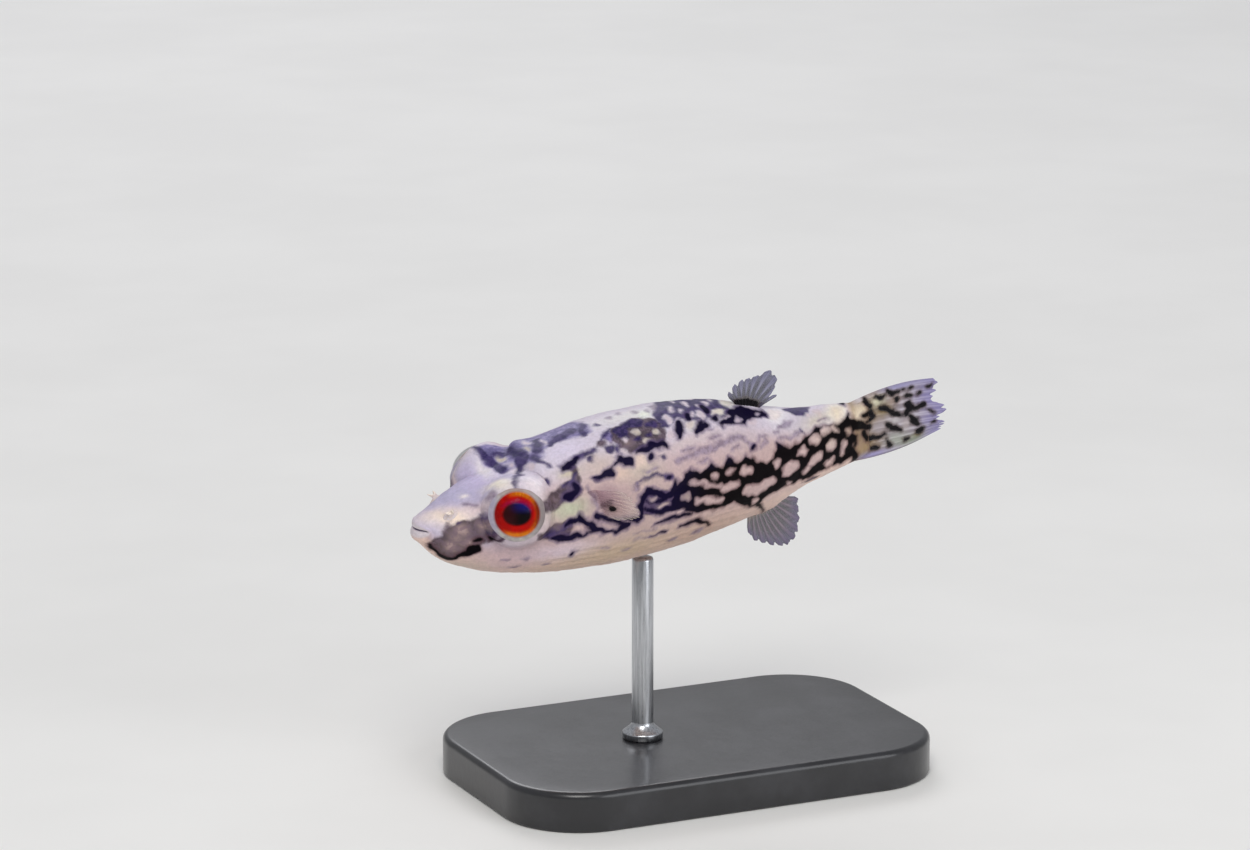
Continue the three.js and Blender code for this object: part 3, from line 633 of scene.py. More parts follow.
def skin_nodes(tree):
    """Ground colour, soft haze, smoky and plum blotches and black ink, each edged by its distance field, and
    each dark mark fading out through a warm or blue fringe."""
    colours = bpy.context.scene.puffer_colours
    body = attribute(tree, "body", "Vector")
    fine = noise(tree, body, 4.2, 3.0, 0.6)
    grain = noise(tree, body, 14.0, 2.0, 0.6)
    waver = maths(tree, "MULTIPLY", maths(tree, "SUBTRACT", fine, 0.5), 0.15)
    cold = attribute(tree, "cold")
    ground = attribute(tree, "ground", "Color")
    shade = node(tree, "ShaderNodeMapRange", {"Value": fine, "From Min": 0.3, "From Max": 0.7,
                                              "To Min": 0.9, "To Max": 1.08}).outputs[0]
    colour = node(tree, "ShaderNodeVectorMath", {0: ground, "Scale": shade}, operation="SCALE").outputs[0]
    mottle = noise(tree, body, 2.6, 3.0, 0.6)
    # The blue of fringe and ink follows cold: near the head it is the marks' own, high up the side it is
    # painted sheen of the light from above.
    fringe = blend_colours(tree, cold, srgb(86, 52, 62), srgb(78, 62, 110))
    ink = blend_colours(tree, cold, tuple(colours.ink), tuple(colours.navy))
    # attribute, distance that is full and distance that is clear, strength, colour, its lighter mottling
    layers = [
        ("haze", -0.22, 0.22, 0.75, tuple(colours.haze), srgb(140, 124, 148)),
        ("dusk", -0.3, 0.25, 0.9, tuple(colours.dusk), srgb(134, 123, 172)),
        ("smoke", -0.14, 0.16, 0.93, tuple(colours.smoke), srgb(92, 74, 88)),
        ("plum", -0.18, 0.18, 0.94, tuple(colours.plum), srgb(60, 46, 98)),
        ("mist", 0, 0, 0, tuple(colours.mist), srgb(148, 124, 128)),
        ("ink", 0.0, 0.3, 0.55, fringe, fringe),
        ("ink", -0.14, 0.08, 0.99, ink, ink),
    ]
    patchy = within(tree, mottle, 0.4, 0.6)
    for layer, inner, outer, full, tone, lighter in layers:
        share = attribute(tree, layer)
        if layer != "mist":
            share = within(tree, maths(tree, "ADD", share, waver), inner, outer, full)
        toned = tone if tone is lighter else blend_colours(tree, patchy, tone, lighter)
        colour = blend_colours(tree, share, colour, toned)
    colour = blend_colours(tree, attribute(tree, "inside"), colour, tuple(colours.mouth))
    dots = node(tree, "ShaderNodeTexVoronoi", {"Vector": body, "Scale": 5.5, "Randomness": 0.9}).outputs[0]
    prickle = within(tree, dots, 0.05, 0.4)
    relief = maths(tree, "ADD", maths(tree, "MULTIPLY", prickle, 0.6), maths(tree, "MULTIPLY", grain, 0.5))
    rough = spread(tree, fine, 0.38, 0.55)
    shine = spread(tree, within(tree, attribute(tree, "ink"), -0.1, 0.1), 0.18, 0.03)
    return {"Base Color": colour, "Roughness": rough, "Specular IOR Level": shine,
            "Normal": bump(tree, relief, 0.012)}


def skin_finish():
    """Moist skin that lets a little light in."""
    return finish("wet_skin", skin_nodes, **{
        "Subsurface Weight": 0.06, "Subsurface Radius": (0.5, 0.3, 0.25), "Subsurface Scale": 0.6 * MM,
        "Coat Weight": 0.02, "Coat Roughness": 0.2,
    })


# ---------------------------------------------------------------- settings a user can change
def a_length(name, words, millimetres):
    """A setting in metres that starts at this many millimetres."""
    return FloatProperty(name=name, description=words, default=millimetres * MM, min=0, unit="LENGTH",
                         precision=5)


def an_angle(name, words, degrees):
    """A setting in radians that starts at this many degrees."""
    return FloatProperty(name=name, description=words, default=math.radians(degrees), subtype="ANGLE")


def a_number(name, words, value):
    """A plain setting of at least 0."""
    return FloatProperty(name=name, description=words, default=value, min=0)


def a_colour(name, words, *rgb):
    """A colour setting that starts at a screen colour."""
    return FloatVectorProperty(name=name, description=words, default=srgb(*rgb), min=0, max=1,
                               subtype="COLOR")


class PufferSizes(bpy.types.PropertyGroup):
    """Sizes of the eyes, fins, nostrils and stand, and how fine the skin's grid is."""
    eye_radius: a_length("Eye radius", "Radius of the eyeball", 2.4)
    iris_radius: a_length("Iris radius", "Radius of the red iris", 1.67)
    iris_depth: a_length("Iris depth", "How far the iris lies behind the clear dome's edge", 0.12)
    eye_forward: an_angle("Eye forward", "How far each eye looks forward of straight sideways", 21)
    eye_up: an_angle("Eye up", "How far each eye looks up", 22)
    fin_film: a_length("Fin film", "Thickness of the film between rays", 0.07)
    fin_rib: a_length("Fin rib", "Thickness of a ray over the film", 0.16)
    nostril_height: a_length("Nostril height", "Height of a nostril's prongs", 0.56)
    nostril_radius: a_length("Nostril radius", "Radius of a nostril's stalk", 0.15)
    base_length: a_length("Base length", "Length of the stand's base", 34)
    base_width: a_length("Base width", "Width of the stand's base", 22)
    base_thick: a_length("Base thickness", "Thickness of the stand's base", 3)
    base_corner: a_length("Base corner", "Radius of the base's corners", 6)
    base_bevel: a_length("Base edge", "Radius of the base's rounded upper edge", 0.5)
    rod_radius: a_length("Rod radius", "Radius of the stand's rod", 0.8)
    rod_top: a_length("Rod top", "Height of the rod's end inside the belly", 16.9)
    collar_radius: a_length("Collar radius", "Radius of the rod's foot", 1.5)
    collar_height: a_length("Collar height", "Height of the rod's foot", 1.2)
    body_rows: IntProperty(name="Body rows", description="Rows of points along the body", default=366,
                           min=60)
    body_columns: IntProperty(name="Body columns", description="Points round the body", default=270,
                              min=40)


class PufferColours(bpy.types.PropertyGroup):
    """Colours of the skin, the eyes and the stand."""
    ink: a_colour("Ink", "Black of the bands", 3, 1, 4)
    # Navy is the marks' own blue-black near the head and, high up the side, painted sheen on the dark marks.
    navy: a_colour("Navy", "Blue-black of the marks near the head", 16, 9, 42)
    plum: a_colour("Plum", "Violet of the nape and back", 37, 26, 76)
    smoke: a_colour("Smoke", "Brown-grey of the blotches", 56, 40, 52)
    # Haze also paints two shadows: one under the snout's painted highlight and one in the groove in front of
    # the eye.
    haze: a_colour("Haze", "Faint mauve marks of the flank", 108, 91, 114)
    dusk: a_colour("Dusk", "Slate film of the nape", 96, 87, 142)
    mist: a_colour("Mist", "Light places inside the chin's blotch", 186, 160, 156)
    pale: a_colour("Pale", "Islands inside the dark bands", 206, 180, 178)
    belly: a_colour("Belly", "Ground colour of the belly", 230, 200, 188)
    flank: a_colour("Flank", "Ground colour of the flank", 194, 168, 166)
    back: a_colour("Back", "Ground colour of the back", 208, 198, 212)
    # The head's lilac is partly its own colour, partly painted sheen of the light from above on its top.
    head: a_colour("Head", "Ground colour of the head", 190, 180, 206)
    lip: a_colour("Lip", "The lips", 212, 202, 208)
    mouth: a_colour("Mouth", "Inside of the mouth", 88, 74, 120)
    lid: a_colour("Lid", "Skin round the eyes", 208, 196, 196)
    iris: a_colour("Iris", "Red of the iris", 200, 8, 0)
    amber: a_colour("Amber", "Edge of the iris", 206, 130, 18)
    ring: a_colour("Ring", "Pale ring round the iris", 204, 198, 190)
    nostril: a_colour("Nostril", "The nostrils' skin", 216, 204, 208)
    enamel: a_colour("Enamel", "The stand's base", 44, 44, 48)
    steel: a_colour("Steel", "The stand's rod", 206, 208, 212)


class PufferStudio(bpy.types.PropertyGroup):
    """The lamps, the camera and the floor."""
    key: a_number("Key power", "Power of the main lamp in watts", 1.12)
    fill: a_number("Fill power", "Power of the lamp that opens the shadows, in watts", 0.72)
    rim: a_number("Rim power", "Power of the lamp behind, in watts", 0.7)
    sky: a_number("Sky strength", "Strength of the even light from all sides", 0.42)
    azimuth: an_angle("Azimuth", "Camera's turn about the upright, from the fish's left side", -25)
    elevation: an_angle("Elevation", "Camera's height angle", 14)
    distance: a_length("Distance", "From the camera to the middle of the fish", 400)
    right: a_length("Right", "Camera's shift to the right", 0.803)
    up: a_length("Up", "Camera's shift upward", 4.672)
    lens: FloatProperty(name="Lens", description="Focal length in millimetres", default=157.8,
                        unit="CAMERA")
    paper: a_colour("Paper", "The floor", 240, 239, 236)


# ---------------------------------------------------------------- skin
# The share of the rows on the lips, then each later stretch's end in x and its share; the tail has the rest
LIPS_SHARE = 0.12
STRETCHES = [(4.1, 0.06), (5.4, 0.11), (8.4, 0.08), (9.6, 0.08), (12.0, 0.06)]
# The skin round an eye. Pairs are degrees from the way the eye looks between which a form fades, or a place
# and a width; single numbers are millimetres, but for lid and edge, in degrees.
SOCKET = {
    "lid": 9, "lid_above": (0.35, 1.0), "lid_fades": (66, 80), "groove": 0.52, "groove_fades": (43, 71),
    "roll": 0.03, "roll_at": (71, 4), "hollow": 1.0, "hollow_fades": (15, 52), "joins": (64, 82),
    "edge": 84, "reach": 4.2,
}
# Heights of the skin's folds and swellings in millimetres
RELIEF = {
    "swell": 0.016, "dimple": 0.01, "lip": 0.02, "lip_fold": 0.03, "brow": 0.44, "crown": 0.1, "keel": 0.2,
    "pleat": 0.02, "gill_roll": 0.08, "gill_slit": 0.16, "dorsal_lobe": 0.08, "anal_lobe": 0.34,
}
# The share of the brow that is left at the orbit, and how many millimetres off it is whole
BROW_AT_ORBIT, BROW_CLEARS = 0.6, 0.9
# Millimetres from one pleat of the belly to the next, and the gill slit as a stroke
PLEAT_SPACING = 0.62
GILL_SLIT = [(11.3, 2.0, 0.0), (11.05, 1.3, 0.0), (11.15, 0.5, 0.0), (11.5, -0.2, 0.0)]
# Arc from mid-side to the belly's keel at each x
SIDE_REACH = [(0, 2.0), (7, 6.6), (16, 8.4), (24, 7.2), (29.5, 4.9), (36.4, 2.6)]
# How far the lower lip is moved ahead, the height it is centred on, and how far up and back it fades
LOWER_LIP = {"ahead": 0.22, "z": 0.15, "tall": 0.62, "long": 1.0}
# How far noise bends the pattern and over what wavelength; the right side is shifted and bent further
BEND, BEND_SEED = (0.06, 0.9), 20
RIGHT_SIDE = {"shift": 0.25, "along": (0.45, 5.0), "up": (0.3, 4.0)}
# Turns past the ridge, and short of the keel, between which the left pattern gives way to the right
RIDGE_MELT, KEEL_MELT = (0.45, 0.85), (0, 0.35)
# Where the ground's tones melt: shares of the height from mid-side to ridge, and x for the head's end
TONE_MELTS = {"flank": (-0.5, -0.1), "back": (0.35, 0.7), "head": (-0.3, 0.3), "head_end": (5.5, 9.5)}
# How wide marks and pale islands melt, how far the islands eat into every dark mark but ink, and the share
# of their own colour
ISLAND_MELT, ISLAND_GAIN, ISLAND_TINT = 0.1, 0.04, 0.35
# The share of the lid's colour round the eyes, and the degrees between which it fades
LID_TINT, LID_FADES = 0.35, (64, 76)
# x between which the skin takes on the tail fin's pattern, which slides this far back and down for each
# millimetre of flesh at the side
TAIL_ROOT, TAIL_SLIDE = (34.9, 35.5), (0.47, 0.5)
# Ink is blue ahead of these x, where the blue is the marks' own, and above these heights up the side, where
# it is painted sheen of the light from above, but not on the snout
COLD = {"ends": (17.5, 22.0), "above": (1.6, 2.6), "above_share": 0.8, "snout": (5.0, 8.0)}


def skin_grid(rows, columns):
    """Rows along the body, closest at the lips and where the orbits rise and fall, and turns from the belly
    over the left side and back."""
    edges = [0, TRAVEL[LIPS_END_ROW], *(travel_at_x(x) for x, _ in STRETCHES), TRAVEL[-1]]
    counts = [int(rows * share) for share in (LIPS_SHARE, *(share for _, share in STRETCHES))]
    counts.append(rows - sum(counts))
    parts = [np.linspace(a, b, n, endpoint=False) for a, b, n in zip(edges, edges[1:], counts)]
    distance = np.append(np.concatenate(parts), edges[-1])[:, None]
    turn = np.linspace(-math.pi, math.pi, columns, endpoint=False)[None, :]
    return distance, turn


def side_heights(distance, turn):
    """Arc along each plain ring from the middle of the left side, up positive."""
    ring = body_point(distance, turn, orbits=False)
    closed = np.concatenate([ring, ring[:, :1]], 1)
    steps = np.linalg.norm(np.diff(closed, axis=1), axis=2)
    arc = np.concatenate([np.zeros((len(ring), 1)), np.cumsum(steps, 1)], 1)
    middle = np.array([np.interp(-math.pi / 2, turn[0], row[:-1]) for row in arc])
    return arc[:, :-1] - middle[:, None]


def surface_normals(points):
    """Outward unit normals of a wrapped grid, from its neighbours' differences."""
    along = np.gradient(points, axis=0)
    around = np.roll(points, -1, axis=1) - np.roll(points, 1, axis=1)
    normal = np.cross(along, around)
    return normal / np.maximum(np.linalg.norm(normal, axis=2, keepdims=True), TINY)


def eye_angle(points, side):
    """Degrees between the way an eye looks and the way from its centre to each point; 180 away from the
    eye."""
    out = points - eye_centre(side)
    reach = np.maximum(np.linalg.norm(out, axis=2), TINY)
    angle = np.degrees(np.arccos(np.clip((out @ eye_axes(side)[0]) / reach, -1, 1)))
    return np.where(reach < SOCKET["reach"], angle, 180.0)


def sink_eyes(points):
    """Lowers the skin in front of each eye, so that the eyeball stands out of a round rim in a soft groove:
    the distance from the eye's centre is the orbit's radius less the groove and the hollow, which fade out
    with the angle from the way the eye looks. The rim comes further down over the eye's top."""
    for side in SIDES.values():
        up = eye_axes(side)[2]
        out = points - eye_centre(side)
        reach = np.maximum(np.linalg.norm(out, axis=2), TINY)
        angle = eye_angle(points, side)
        lid = ease(*SOCKET["lid_above"], (out @ up) / reach) * (1 - ease(*SOCKET["lid_fades"], angle))
        angle = angle + SOCKET["lid"] * lid
        rim = (ORBIT["radius"] - SOCKET["groove"] * (1 - ease(*SOCKET["groove_fades"], angle))
               + SOCKET["roll"] * hump(angle, *SOCKET["roll_at"]))
        rim = rim - SOCKET["hollow"] * (1 - ease(*SOCKET["hollow_fades"], angle))
        wanted = mix(rim, reach, ease(*SOCKET["joins"], angle))
        moved = eye_centre(side) + out * (wanted / reach)[..., None]
        points = np.where((angle < SOCKET["edge"])[..., None], moved, points)
    return points


def side_reach(x):
    """Arc from the middle of the side to the belly's keel, about: it sets how far down a mark can lie."""
    return np.interp(x, *zip(*SIDE_REACH))


def skin_relief(distance, x, v, top, body):
    """Height of folds and swellings in millimetres: soft unevenness, lips, the brow behind the orbits, the
    gill slit's rolled edge, the lobes under the dorsal and anal fins, and the fine pleats of the belly. Each
    is a bell or a smooth step in x, in the height v up the side or in the arc from the ridge."""
    high = RELIEF
    height = high["swell"] * wobble(body, 3.4, 3) * ease(1.5, 4, x)
    height += high["dimple"] * wobble(body, 0.8, 4) * ease(1.0, 3, x)
    front = distance - TRAVEL[LIP_ROW]
    height += high["lip"] * hump(front, 0.3, 0.32) - high["lip_fold"] * hump(front, 1.1, 0.28)
    away = np.min([np.linalg.norm(body - eye_centre(side), axis=2) for side in SIDES.values()], axis=0)
    clear = mix(BROW_AT_ORBIT, 1, ease(ORBIT["radius"], ORBIT["radius"] + BROW_CLEARS, away))
    height += high["brow"] * clear * hump(x, 9.2, 0.95) * hump(np.abs(top), 2.5, 1.2)
    height += high["crown"] * hump(x, 9.0, 1.3) * hump(top, 0, 2)
    height += high["keel"] * ease(29, 33, x) * ease(-1.0, -1.9, v)
    stretched = wobble(body * np.array([0.25, 1, 1]), 2.0, 5)
    pleat = np.sin(v * 2 * math.pi / PLEAT_SPACING + 1.4 * stretched)
    height += high["pleat"] * pleat * ease(-1.2, -2.4, v) * ease(7, 10, x) * (1 - ease(24, 27, x))
    slit = stroke(x, v, GILL_SLIT)
    height += high["gill_roll"] * hump(slit, 0.38, 0.22) - high["gill_slit"] * hump(slit, 0, 0.16)
    behind = 1 - ease(27.7, 28.8, x)
    height += high["dorsal_lobe"] * ease(25.2, 26.0, x) * behind * hump(top, 0, 0.6)
    above_keel = v + side_reach(x) * 0.95
    height += high["anal_lobe"] * hump(x, 27.7, 1.6) * (1 - ease(0.6, 2.6, above_keel))
    return height


def push_lower_lip(points):
    """Moves the lower lip ahead of the upper one, by a bell in height and one in x."""
    x, z = points[..., 0], points[..., 2]
    forward = LOWER_LIP["ahead"] * hump(z, LOWER_LIP["z"], LOWER_LIP["tall"]) * hump(x, 0, LOWER_LIP["long"])
    return points - forward[..., None] * np.array([1.0, 0, 0])


def both_sides(x, v_left, turn, body):
    """The pattern's coordinates for each side, bent a little by noise, and how much of the right side's
    shows."""

    def bent(size, wavelength, step):
        """Noise of its own seed, this many millimetres high."""
        return size * wobble(body, wavelength, BEND_SEED + step)

    bend = bent(*BEND, 0), bent(*BEND, 1)
    v_right = np.roll(v_left[:, ::-1], 1, axis=1)
    left = (x + bend[0], v_left + bend[1])
    right = (x + bend[0] + bent(*RIGHT_SIDE["along"], 2) + RIGHT_SIDE["shift"],
             v_right + bend[1] + bent(*RIGHT_SIDE["up"], 3))
    over = ease(*RIDGE_MELT, turn)
    under = ease(*KEEL_MELT, math.pi - np.abs(turn))
    return left, right, mix(0.5, over, under)


def strongest(places, spots):
    """The strongest of several soft round spots (x, v, reach along, reach across, strength) at a place."""
    x, v = places
    return np.max([most * np.exp(-(((x - sx) / a) ** 2 + ((v - sv) / b) ** 2))
                   for sx, sv, a, b, most in spots], axis=0)


def ground_colour(x, high, left, right, share):
    """Belly, flank, back and head melted into each other by the height up the side, then each soft wash
    mixed in with a bell-shaped strength about its place."""
    colours = bpy.context.scene.puffer_colours
    melts = {key: ease(*TONE_MELTS[key], high)[..., None] for key in ("flank", "back")}
    ground = mix(np.array(colours.belly), np.array(colours.flank), melts["flank"])
    ground = mix(ground, np.array(colours.back), melts["back"])
    # Lilac over the upper head: partly the skin's own colour, partly painted sheen of the light from above.
    head = (1 - ease(*TONE_MELTS["head_end"], x)) * ease(*TONE_MELTS["head"], high)
    ground = mix(ground, np.array(colours.head), head[..., None])
    for wx, wv, reach, across, tint, strength in WASHES:
        for (sx, sv), side_share in ((left, 1 - share), (right, share)):
            w = strength * side_share * np.exp(-(((sx - wx) / reach) ** 2 + ((sv - wv) / across) ** 2))
            ground = mix(ground, np.array(srgb(*tint)), w[..., None])
    return ground


def make_skin():
    """Head, trunk and tail in one skin: the rings of the profiles with the orbits melted in, sunk round the
    eyes and raised along the normals by the relief. Each point carries its distance to the marks of every
    kind; pale islands are cut out of the dark marks by the larger of the two distances, and behind the
    tail's root the marks and the colours are those of the tail fin, so that the two meet unseen."""
    sizes, colours = bpy.context.scene.puffer_sizes, bpy.context.scene.puffer_colours
    distance, turn = skin_grid(sizes.body_rows, sizes.body_columns)
    points = push_lower_lip(sink_eyes(body_point(distance, turn)))
    v_left = side_heights(distance, turn)
    past_lips = distance - TRAVEL[LIP_ROW]
    x = np.where(past_lips < 0, -0.5, ring_x(distance) + 0 * turn)
    left, right, share = both_sides(x, v_left, turn, points)
    ridge = np.array([np.interp(0, turn[0], row) for row in v_left])[:, None]
    v = np.where(turn < 0, left[1], right[1])
    relief = skin_relief(distance, x, v, v_left - ridge, points)
    points = points + surface_normals(points) * relief[..., None]

    values = {"body": points, "mist": mix(strongest(left, MIST), strongest(right, MIST), share)}
    fields = {key: mix(marks(*left, **kinds), marks(*right, **kinds), share)
              for key, kinds in MARKS.items()}
    pale = fields.pop("pale")
    aside = np.abs(points[..., 1])
    spots, tint, washed = fan_paint("caudal", points[..., 0] + TAIL_SLIDE[0] * aside,
                                    points[..., 2] - TAIL_SLIDE[1] * aside)
    root = ease(*TAIL_ROOT, x)
    for key, field in fields.items():
        gain, behind = (0.0, spots) if key == "ink" else (ISLAND_GAIN, FAR_OFF)
        values[key] = mix(smooth_max(field, gain - pale, ISLAND_MELT), behind, root)

    high = v / ridge
    ground = ground_colour(x, high, left, right, share)
    islands = (1 - ease(-0.15, 0.1, pale))[..., None]
    ground = mix(ground, np.array(colours.pale), ISLAND_TINT * islands)
    lids = np.max([1 - ease(*LID_FADES, eye_angle(points, side)) for side in SIDES.values()], axis=0)
    ground = mix(ground, np.array(colours.lid), LID_TINT * lids[..., None])
    fin_ground = mix(np.array(srgb(*FIN_LOOKS["caudal"]["base"])), tint[..., :3], washed[..., None])
    ground = mix(ground, fin_ground, root[..., None])
    lips = (1 - ease(0.25, 0.7, past_lips))[..., None]
    ground = mix(ground, np.array(colours.lip), lips + 0 * ground[..., :1])
    values["ground"] = np.concatenate([ground, np.ones(ground.shape[:2] + (1,))], 2)
    # Where ink turns blue: its own blue-black near the head, painted sheen high up the side.
    cold = np.maximum(1 - ease(*COLD["ends"], x), COLD["above_share"] * ease(*COLD["above"], high * ridge))
    values["cold"] = cold * ease(*COLD["snout"], x)
    values["inside"] = (1 - ease(-0.4, -0.16, past_lips)) + 0 * turn
    mesh = fill_mesh("skin", placed(points), wrap=True, ends="start end", values=values)
    return add_piece(mesh, skin_finish(), ("head", "trunk", "tail"))


# ---------------------------------------------------------------- eyes
# The pupil's half width and half height, how far round the eyeball the dish reaches in degrees, and how far
# the clear dome reaches past the iris
PUPIL, DISH_REACH, DOME_OVERLAP = (1.06, 0.86), 72, 0.12
# The iris's step behind the ring, the dish's gap under the eyeball's sphere, and where the two meet about
# the iris's edge; the lens's height, how far back it sits, and its reach as a share of the pupil
DISH = {"step": 0.02, "gap": 0.012, "melt": (-0.26, 0.1), "lens": 0.30, "back": 0.14, "spread": 1.12}


def iris_nodes(tree):
    """Red iris, amber at its upper and rear edge, a painted pink glint over the pupil's top, dark oval pupil
    with a painted blue reflection at its upper rear and a painted dark red reflection at its front, and a
    pale ring round it with painted shade of the groove over its front; "plane" is the place across the eye
    in millimetres, aft and up, and "rays" the way round it."""
    colours = bpy.context.scene.puffer_colours
    plane = attribute(tree, "plane", "Vector")
    aft, up, _ = node(tree, "ShaderNodeSeparateXYZ", {0: plane}).outputs
    forward, down = maths(tree, "MULTIPLY", aft, -1.0), maths(tree, "MULTIPLY", up, -1.0)
    reach = node(tree, "ShaderNodeVectorMath", {0: plane}, operation="LENGTH").outputs["Value"]
    squash = node(tree, "ShaderNodeVectorMath", {0: plane, 1: (1 / PUPIL[0], 1 / PUPIL[1], 0)},
                  operation="MULTIPLY").outputs[0]
    pupil_reach = node(tree, "ShaderNodeVectorMath", {0: squash}, operation="LENGTH").outputs["Value"]
    fibre = noise(tree, attribute(tree, "rays", "Vector"), 6.0, 3.0, 0.65)
    soft = noise(tree, plane, 2.2, 2.0, 0.5)
    red = blend_colours(tree, within(tree, fibre, 0.35, 0.65), tuple(colours.iris), srgb(132, 2, 0))
    red = blend_colours(tree, within(tree, aft, -1.7, -0.3, 0.8), red, srgb(112, 0, 0))
    top = maths(tree, "MULTIPLY", within(tree, down, -1.4, -0.5), within(tree, forward, -0.2, 0.8))
    back_or_top = maths(tree, "MAXIMUM", top, within(tree, forward, -1.4, -0.6))
    back_or_top = maths(tree, "MAXIMUM", back_or_top, within(tree, up, -1.5, -0.9))
    back_or_top = maths(tree, "MULTIPLY", back_or_top, within(tree, forward, 0.5, 1.4))
    edge = maths(tree, "SUBTRACT", 1.0, within(tree, reach, 1.2, 1.5))
    amber = blend_colours(tree, within(tree, fibre, 0.3, 0.7), tuple(colours.amber), srgb(188, 84, 6))
    amber = blend_colours(tree, within(tree, forward, -1.5, -0.9), amber, srgb(120, 34, 4))
    iris = blend_colours(tree, maths(tree, "MULTIPLY", back_or_top, edge), red, amber)
    # Painted glint: magenta over the iris just above the pupil stands in for a reflection of the light.
    painted_pink_glint = maths(tree, "MULTIPLY", within(tree, pupil_reach, 1.05, 1.45, 0.8),
                 within(tree, down, -0.9, -0.3))
    iris = blend_colours(tree, painted_pink_glint, iris, srgb(136, 6, 58))
    # Painted reflections in the pupil: blue at its upper rear, dark red at its front, black between.
    blue = maths(tree, "MULTIPLY", within(tree, down, -0.6, 0.1), within(tree, forward, -0.5, 0.7))
    pupil = blend_colours(tree, within(tree, forward, -0.3, 0.5, 1.0), srgb(40, 3, 6), srgb(3, 0, 2))
    pupil = blend_colours(tree, blue, pupil, srgb(18, 14, 92))
    iris = blend_colours(tree, within(tree, pupil_reach, 0.84, 1.14), iris, pupil)
    ring = blend_colours(tree, within(tree, soft, 0.35, 0.7), tuple(colours.ring), srgb(178, 170, 172))
    # Painted shade of the groove round the eye: lilac over the ring's front.
    ring = blend_colours(tree, within(tree, aft, -1.7, -1.1, 0.4), ring, srgb(168, 160, 206))
    ring = blend_colours(tree, within(tree, forward, -1.9, -0.8, 0.85), ring, srgb(132, 120, 122))
    ring = blend_colours(tree, within(tree, down, -1.9, -1.1, 0.8), ring, srgb(152, 128, 124))
    limb = within(tree, reach, 1.56, 1.74)
    colour = blend_colours(tree, limb, ring, iris)
    middle = maths(tree, "ABSOLUTE", maths(tree, "SUBTRACT", reach, 1.68))
    colour = blend_colours(tree, within(tree, middle, 0.0, 0.1, 0.3), colour, srgb(126, 84, 74))
    return {"Base Color": colour, "Normal": bump(tree, fibre, 0.02)}


def iris_finish():
    """The matt dish under the cornea's gloss."""
    return finish("iris", iris_nodes, **{"Roughness": 0.5, "Specular IOR Level": 0.06})


def cornea_finish():
    """Clear wet film: it lets light through and mirrors by Fresnel."""
    material, tree = blank_material("cornea")
    clear = node(tree, "ShaderNodeBsdfTransparent", {"Color": (1, 1, 1, 1)})
    gloss = node(tree, "ShaderNodeBsdfGlossy", {"Color": (1, 1, 1, 1), "Roughness": 0.04})
    edge = node(tree, "ShaderNodeFresnel", {"IOR": 1.12})
    mixed = node(tree, "ShaderNodeMixShader", {0: edge.outputs[0], 1: clear.outputs[0], 2: gloss.outputs[0]})
    node(tree, "ShaderNodeOutputMaterial", {"Surface": mixed.outputs[0]})
    return material


def eye_grid(side, height_at, last, rows=56, columns=120):
    """A dish turned about the way the eye looks: height_at(reach, around) above the eye's centre. Returns
    the reach, the place across the eye, aft and up, and the points."""
    look, aft, up = eye_axes(side)
    reach = (np.linspace(0, 1, rows + 1)[1:] * last)[:, None]
    around = np.linspace(0, 2 * math.pi, columns, endpoint=False)[None, :]
    a, b = reach * np.cos(around), reach * np.sin(around)
    height = height_at(reach, around) + 0 * a
    points = eye_centre(side) + a[..., None] * aft + b[..., None] * up + height[..., None] * look
    return reach, a, b, points


def make_eyes():
    """Each eye is a dish turned about the way it looks, closed at its middle, under a clear dome, the cap of
    the eyeball's sphere."""
    sizes = bpy.context.scene.puffer_sizes
    radius, iris, depth = sizes.eye_radius / MM, sizes.iris_radius / MM, sizes.iris_depth / MM
    iris_skin, clear = iris_finish(), cornea_finish()

    def dome(reach, _around=0):
        """The eyeball's sphere."""
        return np.sqrt(np.maximum(radius ** 2 - reach ** 2, 0))

    def bowl(reach, around):
        """The ring follows the eyeball; inside it the iris drops back, and the lens bulges through the
        pupil."""
        pupil = 1 / np.hypot(np.cos(around) / PUPIL[0], np.sin(around) / PUPIL[1])
        inner = dome(iris) - DISH["step"] - (depth - DISH["step"]) * ease(0, iris, iris - reach)
        lens = DISH["lens"] * np.sqrt(np.maximum(1 - (reach / (pupil * DISH["spread"])) ** 2, 0))
        inside = inner + np.where(reach < pupil, lens - DISH["back"], 0.0)
        start, end = (iris + offset for offset in DISH["melt"])
        return mix(inside, dome(reach) - DISH["gap"], ease(start, end, reach))

    # The eyeball's rest, beyond DISH_REACH, would lie behind the skin, so it isn't made
    last = radius * math.sin(math.radians(DISH_REACH))
    for name, side in SIDES.items():
        reach, a, b, points = eye_grid(side, bowl, last)
        values = {"plane": np.stack([a, b, 0 * a], -1),
                  "rays": np.stack([a / reach * 2.2, b / reach * 2.2, reach * 0.35 + 0 * a], -1)}
        mesh = fill_mesh(f"iris_{name}", placed(points), wrap=True, ends="start", values=values,
                         flip=side > 0)
        add_piece(mesh, iris_skin, (f"eye_{name}",))
        *_, points = eye_grid(side, dome, iris + DOME_OVERLAP, rows=40, columns=96)
        mesh = fill_mesh(f"cornea_{name}", placed(points), wrap=True, ends="start", flip=side > 0)
        add_piece(mesh, clear)


